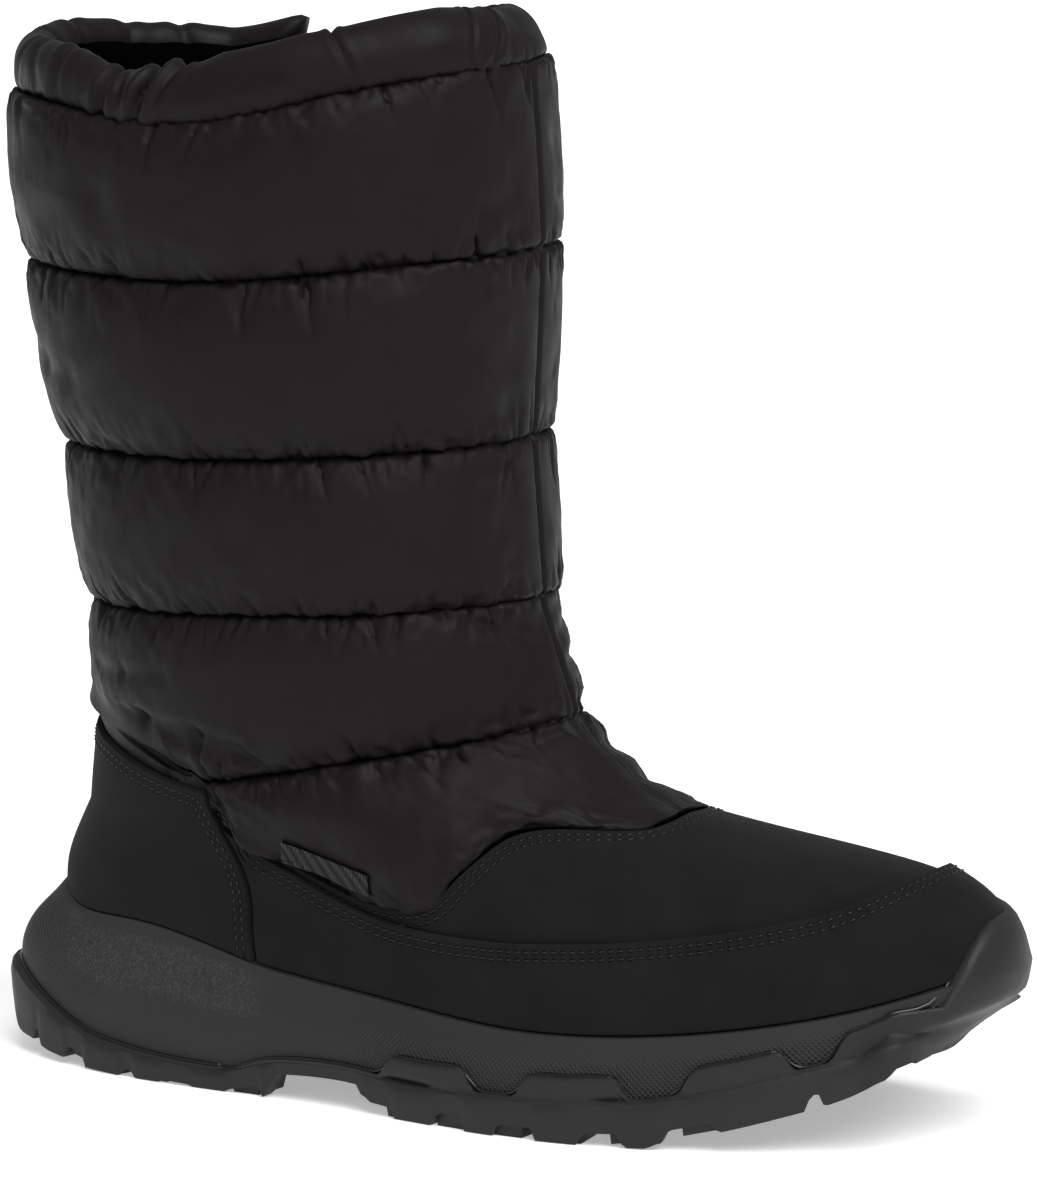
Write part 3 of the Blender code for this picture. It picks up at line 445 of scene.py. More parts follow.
# The moulded plate's own tabs and bumper sink into the foam behind the rim, and the lugs under
# the toe grow shallow where it springs up.
PLATE_DROP = 0.0042
finder = KDTree(len(rim))
for k, point in enumerate(rim):
    finder.insert((point[0], point[1], 0.0), k)
finder.balance()
toe_turn = np.degrees(np.arctan2(rim[:, 1], rim[:, 0] - BUMPER_MIDDLE))
lift = np.interp(toe_turn, *zip(*TOE_LIFTS)) * (rim[:, 0] > 0.1)
for v in outsole.data.vertices:
    k = finder.find((v.co.x, v.co.y, 0.0))[1]
    under = rim[k, 2] - PLATE_DROP
    proud = (v.co - Vector(rim[k])).dot(Vector(rim_out[k])) - RUBBER_INSET
    if v.co.z > rim[k, 2] + 0.0006:
        v.co -= Vector(rim_out[k]) * 0.0045
    elif ARCH[0] < v.co.x < ARCH[1]:
        v.co.z = max(v.co.z, rim[k, 2] - ARCH_EDGE + 0.0002)
    elif v.co.x > TOE_DEPTHS[0][0]:
        v.co.z = max(v.co.z, under - np.interp(v.co.x, *zip(*TOE_DEPTHS)) + lift[k])
    if proud > 0:
        v.co -= Vector(rim_out[k]) * proud

lateral = rim[:, 1] < 0
climb = np.where(lateral, tabbed(rim[:, 0], LATERAL_TABS), tabbed(rim[:, 0], MEDIAL_TABS))
inside = np.minimum((toe_turn - BUMPER_ENDS[0]) / BUMPER_CORNERS[0],
                    (BUMPER_ENDS[1] - toe_turn) / BUMPER_CORNERS[1])
bumper = np.sqrt(1 - (1 - np.clip(inside, 0, 1)) ** 2) * (rim[:, 0] > BUMPER_MIDDLE)
climb = np.maximum(climb, bumper * (BUMPER_TOP - rim[:, 2]))
cut = np.where(lateral, notched(rim[:, 0], LATERAL_NOTCHES), notched(rim[:, 0], MEDIAL_NOTCHES))


rubber_surface, foam_surface = surface_of(outsole.data), surface_of(midsole.data)
guard_surface = surface_of(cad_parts["mudguard"].data)


def standing_out(surface, k, height, missing):
    """How far a surface stands out from the rim's line at one step round it and one height."""
    start = Vector(rim[k] + rim_out[k] * 0.04)
    start.z = height
    hit, _, _, distance = surface.ray_cast(start, -Vector(rim_out[k]), 0.09)
    return 0.04 - distance if hit else missing


count = len(rim)
ground = np.zeros(count)
for k in range(count):          # the lowest rubber near each step is what the lugs stand on
    below = [(*(rim[k] - rim_out[k] * inset)[:2], -0.02) for inset in (0.002, 0.004, 0.007)]
    low = [rubber_surface.ray_cast(Vector(start), Vector((0, 0, 1)), 0.1)[0] for start in below]
    low = [hit.z for hit in low if hit]
    ground[k] = min(low) if low else rim[k, 2]
ground = np.min([np.roll(ground, s) for s in range(-LUG_REACH, LUG_REACH + 1)], axis=0)
ground = averaged(ground, 30)
plate = rim[:, 2] - PLATE_DROP
in_arch = np.clip(np.minimum(rim[:, 0] - ARCH[0], ARCH[1] - rim[:, 0]) / 0.004 + 0.5, 0, 1)
foot = np.minimum(ground + 0.0002, plate - 0.0004)
at_toe = rim[:, 0] > TOE_DEPTHS[0][0]
foot[at_toe] = np.maximum(foot, plate - np.interp(rim[:, 0], *zip(*TOE_DEPTHS)))[at_toe]
foot = np.minimum(foot + lift, rim[:, 2] - 0.0012)
foot = foot + (np.maximum(plate - 0.0006, foot) - foot) * cut
foot = foot + (rim[:, 2] - ARCH_EDGE - foot) * in_arch

# What the rubber lies on above the rim, level by level, then the rows of the wall's outer face.
levels = np.arange(0, 0.0421, 0.002)
behind = np.array([[max(standing_out(foam_surface, k, rim[k, 2] + max(level, 0.0003), -0.03),
                        standing_out(guard_surface, k, rim[k, 2] + max(level, 0.0003), -0.03))
                    for k in range(count)] for level in levels])
for _ in range(4):              # a ray that slips between two faces takes its neighbours' answer
    behind = np.where(behind < -0.02, np.maximum(np.roll(behind, 1, 1), np.roll(behind, -1, 1)), behind)
behind = averaged(behind, 6, axis=1)
bridged = behind.copy()                               # the bumper bridges the hollow over the foam's lip
for i in range(len(levels)):
    for j in range(i + 2, 16):
        for m in range(i + 1, j):
            share = (m - i) / (j - i)
            bridged[m] = np.maximum(bridged[m], behind[i] * (1 - share) + behind[j] * share)
bridged = behind + (bridged - behind) * np.minimum(1, bumper * 1.3)
thickness = WALL_THICKNESS + (BUMPER_THICKNESS - WALL_THICKNESS) * bumper
heights, outs, foams = [], [], []
for row in range(SIDE_ROWS + 1):
    above = climb * (1 - row / SIDE_ROWS)
    foam, backing = (np.array([np.interp(above[k], levels, found[:, k]) for k in range(count)])
                     for found in (behind, bridged))
    heights.append(rim[:, 2] + above)
    foams.append(foam)
    outs.append(np.maximum(backing + thickness, RIM_PROUD + BUMPER_BELLY * bumper - 1.5 * above))
outs[-1] = outs[-1] + BUMPER_LIP * bumper
for row in range(1, LUG_ROWS + 1):
    depth = row / LUG_ROWS
    heights.append(rim[:, 2] + (foot - rim[:, 2]) * depth)
    outs.append(outs[SIDE_ROWS] + (RIM_PROUD - outs[SIDE_ROWS]) * min(1.0, depth * 1.2))
lug_face = 1 - np.maximum(cut, in_arch)
for row in range(SIDE_ROWS + 1, SIDE_ROWS + LUG_ROWS + 1):
    depth = (row - SIDE_ROWS) / LUG_ROWS
    outs[row] = outs[row] + 0.0007 * lug_face * (min(1.0, depth * 3) - depth * 0.7)
rings = []


def at_rim(level, out):
    """The sole's rim moved outwards, at a level."""
    return np.stack([rim[:, 0] + rim_out[:, 0] * out, rim[:, 1] + rim_out[:, 1] * out, level], axis=1)


rings.append(at_rim(heights[0] - 0.0003, foams[0] - 0.0003))
rings.append(at_rim(heights[0] + 0.0001, foams[0] + (outs[0] - foams[0]) * 0.55))
rings.append(at_rim(heights[0] - 0.0004, foams[0] + (outs[0] - foams[0]) * 0.95))
for level, out in zip(heights[1:], outs[1:]):
    rings.append(at_rim(level, out))
rings.append(at_rim(foot - 0.0001, outs[-1] - 0.0006))
rings.append(at_rim(foot + 0.0001, outs[-1] - 0.0045))
rings.append(at_rim(plate + 0.0002, outs[-1] - 0.0050))
rings = np.array(rings)
side_wall = new_piece("outsole_side_wall", rings, loop_faces(len(rings), count))
smooth(side_wall, 50)
side_wall.data.materials.append(outsole_rubber)
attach(side_wall, "boot")

# Painted shade: the bead is thicker and blacker than the cement alone, standing for the dark gap along the
# rubber's top edge as well.
BEAD_RADIUS = 0.0006
cement_and_gap_shade = new_material("dried_black_cement_and_gap_shade")
surfaced(cement_and_gap_shade, linear("#070707"), 0.2, 0.5)
line = averaged(at_rim(heights[0] + 0.0001, foams[0] + 0.0002), 3)
section = [(BEAD_RADIUS * cos(a), BEAD_RADIUS * sin(a)) for a in np.arange(6) * pi / 3]
tube = np.concatenate([[p + rim_out[k] * c + np.array([0, 0, s]) for c, s in section]
                       for k, p in enumerate(line)])
bead = new_piece("cement_bead_and_gap_shade", tube, loop_faces(count, 6))
smooth(bead, 80)
bead.data.materials.append(cement_and_gap_shade)
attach(bead, "boot")


# ---------------------------------------------------------------- insole
# A removable foam footbed with a plush top cloth; it lies loose in the boot.
# Painted shade: the black plush is given a near-black colour, darker than its own tone, for the shade inside
# the boot.
plush_and_inner_shade = new_material("knitted_plush_lining_and_inner_shade")
surfaced(plush_and_inner_shade, linear("#050505"), 1.0, 0.0)

insole = cad_copy("insole", "plush_footbed")
crease_sharp(insole, 50)
worked(insole, "SUBSURF", levels=2, render_levels=2)
smooth(insole, 50)
insole.data.materials.append(plush_and_inner_shade)
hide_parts("insole")
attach(insole, "boot")


# ---------------------------------------------------------------- upper
# The foot is cut from black nubuck on a padded backing and lasted under the midsole's lip. Its
# throat edge lies on top of the quilted shaft and is sewn down with two rows of thread.
STITCH_ROWS = (0.0021, 0.0043)          # in from the cut edge
STITCH_PITCH, STITCH_LENGTH, THREAD_WIDTH = 0.0027, 0.0019, 0.0007
CUT_EDGE, GROOVE_WIDTH = 0.0005, 0.00045


def outer_skin(node, name, seed):
    """A new piece with only the outer skin of a CAD shell, found from a face that seed likes best."""
    skin = cad_copy(node, name)
    bpy.ops.object.mode_set(mode="EDIT")
    bpy.ops.mesh.select_mode(type="FACE")
    bpy.ops.mesh.select_all(action="DESELECT")
    bm = bmesh.from_edit_mesh(skin.data)
    first = max(bm.faces, key=seed)
    first.select = True
    bm.faces.active = first
    bmesh.update_edit_mesh(skin.data)
    bpy.ops.mesh.faces_select_linked_flat(sharpness=radians(50))
    bpy.ops.mesh.select_all(action="INVERT")
    bpy.ops.mesh.delete(type="FACE")
    bpy.ops.object.mode_set(mode="OBJECT")
    return skin


def cut_edge(skin, wanted):
    """The longest run of a skin's free edge where wanted(place, way in) holds: places and ways in."""
    bm = bmesh.new()
    bm.from_mesh(skin.data)
    bm.normal_update()
    beside = {}
    for edge in bm.edges:
        if edge.is_boundary:
            for v in edge.verts:
                beside.setdefault(v, []).append(edge.other_vert(v))
    runs, left = [], dict.fromkeys(beside)
    while left:
        start = min(left, key=lambda v: v.co.x)     # the rearmost, so that a closed row starts behind the heel
        del left[start]
        loop = [start]
        ahead = beside[start][0]
        while ahead in left:
            loop.append(ahead)
            del left[ahead]
            ahead = next((v for v in beside[ahead] if v in left), start)
        marks = []
        for v in loop:
            inward = sum((f.calc_center_median() - v.co for f in v.link_faces), Vector())
            inward -= v.normal * inward.dot(v.normal)
            marks.append((np.array(v.co), np.array(inward.normalized())))
        flags = [wanted(p, w) for p, w in marks]
        before = [any(flags[k - s] for s in (1, 2, 3)) for k in range(len(flags))]
        after = [any(flags[(k + s) % len(flags)] for s in (1, 2, 3)) for k in range(len(flags))]
        flags = [flag or (was and will) for flag, was, will in zip(flags, before, after)]
        if all(flags):
            runs.append(marks + marks[:1])
            continue
        turn_at = flags.index(False)
        run = []
        for mark, good in zip(marks[turn_at:] + marks[:turn_at], flags[turn_at:] + flags[:turn_at]):
            if good:
                run.append(mark)
            elif run:
                runs.append(run)
                run = []
        if run:
            runs.append(run)
    bm.free()
    best = max(runs, key=lambda run: sum(np.linalg.norm(b[0] - a[0]) for a, b in zip(run[:-1], run[1:])))
    return np.array([p for p, _ in best]), np.array([w for _, w in best])


def stepped(points, step):
    """A line's points again, this far apart along it."""
    along = travelled(points[:, :3])
    places = np.arange(step / 2, along[-1], step)
    return np.stack([np.interp(places, along, points[:, axis]) for axis in range(points.shape[1])], axis=1)


def evened(line, times):
    """A line of rows of numbers with its bends evened out, its ends held."""
    for _ in range(times):
        line[1:-1] = (line[:-2] + 2 * line[1:-1] + line[2:]) / 4
    return line


def sew(skin, edge, ways_in, name, body="boot"):
    """Two rows of stitches over a skin, a little in from its cut edge, as one mesh."""
    surface = surface_of(skin.data)
    bpy.ops.mesh.primitive_uv_sphere_add(segments=8, ring_count=5, radius=1)
    stitch = bpy.context.object
    bpy.ops.object.mode_set(mode="EDIT")
    bpy.ops.mesh.select_all(action="SELECT")
    bpy.ops.transform.resize(value=(STITCH_LENGTH / 2, THREAD_WIDTH / 2, THREAD_WIDTH / 2))
    bpy.ops.object.mode_set(mode="OBJECT")
    shape = np.array([v.co for v in stitch.data.vertices])
    shape_faces = [tuple(p.vertices) for p in stitch.data.polygons]
    bpy.data.objects.remove(stitch)
    verts, faces = [], []
    line = stepped(np.hstack([edge, ways_in]), STITCH_PITCH / 3)
    line[:, :3] = evened(line[:, :3], 20)
    normals = evened(np.array([surface.find_nearest(Vector(p + w / np.linalg.norm(w) * 0.002))[1]
                               for p, w in zip(line[:, :3], line[:, 3:])]), 30)
    square = evened(np.cross(normals, np.gradient(line[:, :3], axis=0)), 20)
    square = unit(square * np.sign(np.sum(square * line[:, 3:], axis=1).mean()))
    for row in STITCH_ROWS:
        laid = [surface.find_nearest(Vector(point))[:2] for point in line[:, :3] + square * row]
        laid = evened(np.array([np.concatenate(hit) for hit in laid]), 4)
        for k in range(4, len(laid) - 3, 3):
            ahead = Vector(laid[k + 1, :3] - laid[k - 1, :3])
            stretch = ahead.length / (STITCH_PITCH / 1.5)
            ahead.normalize()
            normal = Vector(laid[k, 3:]).normalized()
            side = normal.cross(ahead).normalized()
            turned = np.array([ahead * stretch, side, normal])
            verts.append(shape @ turned + laid[k, :3] + np.array(normal) * THREAD_WIDTH * 0.1)
            faces += [tuple(i + len(shape) * (len(verts) - 1) for i in face) for face in shape_faces]
    rows = new_piece(name, np.vstack(verts), faces, turn_out=False)
    smooth(rows, 80)
    rows.data.materials.append(sewing_thread)
    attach(rows, body)
    return rows


def mark_edge(piece, edge, ways_in):
    """Write on each of a piece's points how far it is from a cut edge and how far along that lies."""
    line = stepped(np.hstack([edge, ways_in]), 0.0006)[:, :3]
    finder = KDTree(len(line))
    for k, point in enumerate(line):
        finder.insert(point, k)
    finder.balance()
    found = [finder.find(v.co) for v in piece.data.vertices]
    marks = (("from_edge", [f[2] for f in found]), ("along_edge", [f[1] * 0.0006 for f in found]))
    for label, values in marks:
        mark = piece.data.attributes.new(label, "FLOAT", "POINT")
        mark.data.foreach_set("value", values)


# Buffed nubuck: a fine matt nap that goes paler where it is brushed or seen edge on.
nubuck = new_material("buffed_black_nubuck")
place = add_node(nubuck, "ShaderNodeTexCoord").outputs["Object"]
mottle = noise(nubuck, place, 55.0, 4.0, Roughness=0.6)
nap = noise(nubuck, place, 1800.0, 3.0, Roughness=0.7)
away = add_node(nubuck, "ShaderNodeAttribute", attribute_name="from_edge").outputs["Fac"]
along = add_node(nubuck, "ShaderNodeAttribute", attribute_name="along_edge").outputs["Fac"]
pull = maths(nubuck, "COSINE", maths(nubuck, "MULTIPLY", along, 2 * pi / STITCH_PITCH))
grooves = 0.0
for row in STITCH_ROWS:         # the thread sinks into a soft groove, deepest between the stitches
    offset = maths(nubuck, "MULTIPLY", maths(nubuck, "SUBTRACT", away, row), 1 / GROOVE_WIDTH)
    falling = maths(nubuck, "MULTIPLY", maths(nubuck, "POWER", offset, 2.0), -1.0)
    grooves = maths(nubuck, "ADD", grooves, maths(nubuck, "POWER", 2.718, falling))
stitch_pits_and_shade = maths(nubuck, "MULTIPLY", grooves, ranged(nubuck, pull, -0.3, -0.8))
depth = maths(nubuck, "MULTIPLY_ADD", grooves, 0.35, stitch_pits_and_shade)
shade = blend(nubuck, mottle, linear("#121212"), linear("#1d1d1d"))
# Painted shade: the pits between the stitches are darkened in the colour, besides being sunk by the bump.
shade = blend(nubuck, stitch_pits_and_shade, shade, linear("#020202"))
bumps = bump(nubuck, depth, 0.9, 0.00035, bump(nubuck, nap, 0.5, 0.00012), invert=True)
surfaced(nubuck, shade, 0.9, 0.06, {"Sheen Weight": 0.05, "Sheen Roughness": 0.45, "Normal": bumps})

# Bonded polyester thread, twisted and a little shiny against the nap.
sewing_thread = new_material("twisted_polyester_thread")
surfaced(sewing_thread, linear("#101011"), 0.42, 0.3)

upper = cad_copy("upper", "nubuck_upper")
crease_sharp(upper, 50)
worked(upper, "SUBSURF", levels=2, render_levels=2)
rounded(upper, CUT_EDGE, 3, 60)
smooth(upper, 50)
upper_skin = outer_skin("upper", "upper_skin", lambda f: f.normal.z * (f.calc_center_median().x > 0.06))
worked(upper_skin, "SUBSURF", levels=2, render_levels=2, boundary_smooth="PRESERVE_CORNERS")
throat, throat_in = cut_edge(upper_skin, lambda p, w: p[2] > 0.05)
mark_edge(upper, throat, throat_in)
upper.data.materials.append(nubuck)
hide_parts("upper")
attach(upper, "boot")
throat_rows = sew(upper_skin, throat, throat_in, "throat_stitching")
bpy.data.objects.remove(upper_skin)


# ---------------------------------------------------------------- mudguard and heel counter
# Two stiff nubuck overlays: a mudguard from the waist round the toe, and a heel counter round
# the back. Both are glued over the upper and sewn along their free edges.
MUDGUARD_THICKNESS, COUNTER_THICKNESS = 0.0016, 0.0022

for node, name, thickness, seed, free_edge in (
        ("mudguard", "nubuck_mudguard", MUDGUARD_THICKNESS,
         lambda f: f.normal.y * (f.calc_center_median().y > 0), lambda p, w: w[2] < -0.3 and p[0] > -0.0585),
        ("heel_counter", "nubuck_heel_counter", COUNTER_THICKNESS,
         lambda f: -f.normal.x * (f.calc_center_median().x < -0.13),
         lambda p, w: w[2] < -0.25 or w[0] < -0.5)):
    overlay = outer_skin(node, name, seed)
    worked(overlay, "SUBSURF", levels=2, render_levels=2, boundary_smooth="PRESERVE_CORNERS")
    edge, ways_in = cut_edge(overlay, free_edge)
    mark_edge(overlay, edge, ways_in)
    rows = sew(overlay, edge, ways_in, node + "_stitching")
    worked(overlay, "SOLIDIFY", thickness=thickness, offset=-1)
    rounded(overlay, CUT_EDGE, 3, 60)
    smooth(overlay, 50)
    overlay.data.materials.append(nubuck)
    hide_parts(node)
    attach(overlay, "boot")


# ---------------------------------------------------------------- quilted shaft
# Two layers of nylon with padding between, sewn through along five seams round the leg and one
# up the front, and lined with plush. The padding swells each band and the seams gather it.
SHAFT_RINGS, LINING_RINGS, BAND_RINGS = 26, 11, 5
FRONT, ZIP_START, ZIP_END, HEEL = 0, 14, 15, 23          # columns of the CAD wall's rings
STEPS_ROUND = (72, 6, 42, 120)                          # between those, and back to the front
STEPS_DOWN = 16                                         # in each band
CLOTH_SHRINK, CLOTH_PRESSURE, CLOTH_FRAMES = (-0.02, -0.10), 50.0, 18
GATHER_REACH = 0.014                                    # how far a seam's gathers run into a band
LEAST_MOVE, MOST_MOVE = -0.0016, 0.0022
FRONT_SEAM_REACH = 0.016


def wall_rings(node, count, side):
    """The mesh rings of one wall of a CAD tube from its rim down: side 1 is outside, -1 inside."""
    bm = bmesh.new()
    bm.from_mesh(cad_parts[node].data)
    bmesh.ops.remove_doubles(bm, verts=bm.verts, dist=1e-6)
    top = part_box(node)[1].z
    middle = np.mean([v.co.x for v in bm.verts if v.co.z > top - 0.02])
    rim = {f for f in bm.faces if f.normal.z > 0.8 and f.calc_center_median().z > top - 0.03}
    seen = {v for f in rim for v in f.verts}
    ring = set()
    for v in seen:
        wall = sum((f.normal for f in v.link_faces if f not in rim), v.normal * 0)
        if side * (wall.x * (v.co.x - middle) + wall.y * v.co.y) > 0:
            ring.add(v)
    rings = []
    for _ in range(count):
        walk = [max(ring, key=lambda v: v.co.x)]
        while len(walk) < len(ring):
            walk.append(next(v for e in walk[-1].link_edges for v in [e.other_vert(walk[-1])]
                             if v in ring and v not in walk))
        points = np.array([v.co for v in walk])
        x, y = points.T[:2]
        if np.sum(x * np.roll(y, -1) - y * np.roll(x, -1)) < 0:
            points = points[::-1]
        if rings:
            points = min((np.roll(points, s, axis=0) for s in range(len(points))),
                         key=lambda p: np.sum((p - rings[-1]) ** 2))
        rings.append(points)
        ring = {e.other_vert(v) for v in ring for e in v.link_edges} - seen - ring
        seen |= ring
    bm.free()
    return np.array(rings)


def evenly(ring):
    """A closed ring in even steps between its front, the zip and the heel, short near the front seam."""
    fine = finer(ring, 12)
    fine = np.vstack([fine, fine[:1]])
    along = travelled(fine)
    stops = [along[12 * c] for c in (FRONT, ZIP_START, ZIP_END, HEEL, len(ring))]
    places = []
    for k, steps in enumerate(STEPS_ROUND):
        sizes = np.ones(steps)
        short = np.minimum(1, 0.35 + 0.09 * np.arange(steps))
        if k == 0:
            sizes = short
        elif k == 3:
            sizes = short[::-1]
        shares = np.concatenate([[0], np.cumsum(sizes)[:-1]]) / sizes.sum()
        places.append(stops[k] + (stops[k + 1] - stops[k]) * shares)
    places = np.concatenate(places)
    return np.stack([np.interp(places, along, fine[:, axis]) for axis in range(3)], axis=1)


def outward(grid):
    """Unit normals of a grid of rings from the top down, each ring closed, all pointing out."""
    normals = np.cross(np.gradient(grid, axis=0), np.roll(grid, -1, 1) - np.roll(grid, 1, 1))
    normals /= np.linalg.norm(normals, axis=2, keepdims=True) + 1e-12
    middle = len(grid) // 2
    return normals * np.sign(np.sum(normals[middle] * (grid[middle] - grid[middle].mean(0))))


def laid_out(grid):
    """How far down the cloth and how far round each of a grid's points lies, and each ring's girth."""
    down = np.cumsum(np.linalg.norm(np.diff(grid, axis=0), axis=2), axis=0)
    steps = np.linalg.norm(np.roll(grid, -1, 1) - grid, axis=2)
    girth = steps.sum(axis=1, keepdims=True)
    return np.vstack([np.zeros(grid.shape[1]), down]), np.cumsum(steps, axis=1) - steps, girth


def calmed(field, times, held):
    """A field on the grid averaged with its neighbours, with some rows held still."""
    for _ in range(times):
        down, up = np.vstack([field[1:], field[-1:]]), np.vstack([field[:1], field[:-1]])
        field = (2 * field + down + up + np.roll(field, 1, 1) + np.roll(field, -1, 1)) / 6
        field[held] = 0
    return field


walls = np.array([evenly(r) for r in wall_rings("shaft", SHAFT_RINGS, 1)])
seams = walls[::BAND_RINGS]
rows, shares = [], []
for band in range(len(seams) - 1):
    high_seam, low_seam = seams[band], seams[band + 1]
    bulge = (walls[5 * band + 2] + walls[5 * band + 3] - high_seam - low_seam) / 2 / 0.954
    for step in range(STEPS_DOWN + (band == len(seams) - 2)):
        share = (1 - cos(pi * step / STEPS_DOWN)) / 2
        rows.append(high_seam + (low_seam - high_seam) * share + bulge * sin(pi * step / STEPS_DOWN))
        shares.append(share)
quilt_grid, shares = np.array(rows), np.array(shares)
sewn_rows = np.isin(np.round(shares, 6), (0.0, 1.0))
quilt_out = outward(quilt_grid)
down, along, girth = laid_out(quilt_grid)
from_seam = np.min(np.abs(down[None] - down[sewn_rows][:, None]), axis=0)      # along the cloth
from_front = np.minimum(along, girth - along)
trial = new_piece("quilt_trial", quilt_grid, grid_faces(*quilt_grid.shape[:2]), turn_out=False)
held = trial.vertex_groups.new(name="sewn")
gathered = trial.vertex_groups.new(name="gathered")
columns = quilt_grid.shape[1]
seam_columns = [0] + list(range(STEPS_ROUND[0], STEPS_ROUND[0] + STEPS_ROUND[1] + 1))
for i, pinned in enumerate(sewn_rows):
    held.add([i * columns + j for j in (range(columns) if pinned else seam_columns)], 1.0, "REPLACE")
    for j in range(columns):
        gathered.add([i * columns + j], float(np.exp(-(from_seam[i, j] / GATHER_REACH) ** 2)), "REPLACE")
jitter = np.random.default_rng(5).normal(size=quilt_grid.shape[:2]) * 0.00025
jitter = (jitter + np.roll(jitter, 1, 1) + np.roll(jitter, -1, 1)) / 2
jitter[sewn_rows] = 0
shaken = quilt_grid + quilt_out * jitter[..., None]
trial.data.vertices.foreach_set("co", shaken.astype(np.float32).ravel())
cloth = trial.modifiers.new("cloth", "CLOTH")
nylon = cloth.settings
nylon.quality, nylon.mass = 6, 0.01
nylon.tension_stiffness = nylon.compression_stiffness = 20
nylon.shear_stiffness, nylon.bending_stiffness = 5, 0.02
nylon.tension_damping = nylon.compression_damping = nylon.shear_damping = 0.1
nylon.bending_damping, nylon.air_damping = 0.01, 0.1
nylon.vertex_group_mass, nylon.pin_stiffness = "sewn", 1
nylon.vertex_group_shrink = "gathered"
nylon.shrink_min, nylon.shrink_max = CLOTH_SHRINK
nylon.use_pressure, nylon.uniform_pressure_force = True, CLOTH_PRESSURE
nylon.effector_weights.gravity = 0
cloth.collision_settings.use_collision = False
cloth.point_cache.frame_end = CLOTH_FRAMES
scene.frame_start, scene.frame_end = 1, CLOTH_FRAMES
for step in range(1, CLOTH_FRAMES + 1):
    scene.frame_set(step)
blown = trial.evaluated_get(bpy.context.evaluated_depsgraph_get()).to_mesh()
settled = np.zeros(len(blown.vertices) * 3, np.float32)
blown.vertices.foreach_get("co", settled)
move = settled.reshape(quilt_grid.shape) - quilt_grid
bpy.data.objects.remove(trial)
scene.frame_set(1)
outwards = np.sum(move * quilt_out, axis=2)
move -= quilt_out * outwards[..., None]
outwards -= 0.85 * outwards.mean(axis=1, keepdims=True)         # the bands keep their girth
calm = calmed(outwards, 30, sewn_rows)
outwards = calm + (outwards - calm) * (0.35 + 0.65 * np.exp(-(from_seam / GATHER_REACH) ** 2))
outwards = np.clip(outwards, LEAST_MOVE, MOST_MOVE)
flat = np.clip(from_front / FRONT_SEAM_REACH, 0, 1)             # the seam up the front holds the cloth flat
outwards *= soft_step(flat)
quilt_grid = quilt_grid + move + quilt_out * outwards[..., None]


def twice_round(grid):
    """A grid with twice the steps round each ring, along a smooth curve."""
    near = [np.roll(grid, s, axis=1) for s in (1, 0, -1, -2)]
    middles = (9 * (near[1] + near[2]) - near[0] - near[3]) / 16
    return np.stack([grid, middles], axis=2).reshape(len(grid), -1, 3)


def twice(grid):
    """A grid with twice the steps both ways, its creases at the seams kept."""
    bands = np.arange(0, len(grid), STEPS_DOWN)
    parts = []
    for start, end in zip(bands[:-1], bands[1:]):
        band = grid[start:end + 1]
        wide = np.concatenate([2 * band[:1] - band[1:2], band, 2 * band[-1:] - band[-2:-1]])
        middles = (9 * (wide[1:-2] + wide[2:-1]) - wide[:-3] - wide[3:]) / 16
        parts.append(np.stack([band[:-1], middles], axis=1).reshape((-1,) + grid.shape[1:]))
    return twice_round(np.concatenate(parts + [grid[-1:]]))


# The seams' thread draws the cloth into short sharp gathers, and the bends of the leg lay a few
# long soft creases across the bands.
GATHER_SPACING, GATHER_LENGTH, GATHER_DEPTH, GATHER_WIDTH = 0.0030, 0.0095, 0.0021, 0.00070
SEAM_DEPTH, SEAM_WIDTH = 0.0012, 0.0009
RUN_OUT, SEAM_FILL = (0.012, 0.010), 0.0022             # a seam this near the hem runs out
HEM_TUCK, HEEL_TURN = (0.0030, 0.0090), 0.515           # in and down from the hem; the heel's place round it
FRONT_SEAM_DEPTH, FRONT_SEAM_WIDTH, LEG_GIRTH = 0.0016, 0.0008, 0.4
NEEDLE_PITCH, NEEDLE_DEPTH, NEEDLE_WIDTH = 0.0031, 0.0004, 0.0012
CREASES = (      # share of the way round from the front seam and height, point by point; depth, width
    (((0.605, 0.1020), (0.651, 0.1025), (0.708, 0.1000), (0.743, 0.0966)), 0.0022, 0.0022),
    (((0.668, 0.0992), (0.705, 0.0962), (0.753, 0.0935)), 0.0014, 0.0018),
    (((0.600, 0.1142), (0.640, 0.1150), (0.688, 0.1165)), 0.0009, 0.0020),
    (((0.903, 0.1365), (0.940, 0.1320), (0.985, 0.1250)), 0.0012, 0.0022),
    (((0.925, 0.1380), (0.955, 0.1345), (0.988, 0.1300)), 0.0008, 0.0018),
    (((0.015, 0.1190), (0.060, 0.1200), (0.110, 0.1180)), 0.0014, 0.0024),
    (((0.012, 0.1075), (0.055, 0.1070), (0.100, 0.1030)), 0.0016, 0.0024),
    (((0.012, 0.1270), (0.050, 0.1300), (0.100, 0.1290)), 0.0010, 0.0024),
    (((0.010, 0.0960), (0.050, 0.0945), (0.090, 0.0890)), 0.0016, 0.0022),
    (((0.010, 0.0890), (0.045, 0.0870), (0.080, 0.0815)), 0.0014, 0.0020),
    (((0.380, 0.1080), (0.340, 0.1030), (0.300, 0.0960)), 0.0018, 0.0024),
    (((0.560, 0.2050), (0.600, 0.1990), (0.640, 0.1960)), 0.0009, 0.0040),
    (((0.900, 0.2100), (0.870, 0.1960), (0.860, 0.1850)), 0.0007, 0.0050),
    (((0.700, 0.2620), (0.690, 0.2480), (0.700, 0.2370)), 0.0007, 0.0050),
    (((0.880, 0.2600), (0.900, 0.2480), (0.890, 0.2360)), 0.0008, 0.0060),
    (((0.780, 0.1650), (0.770, 0.1560), (0.790, 0.1450)), 0.0007, 0.0045),
)

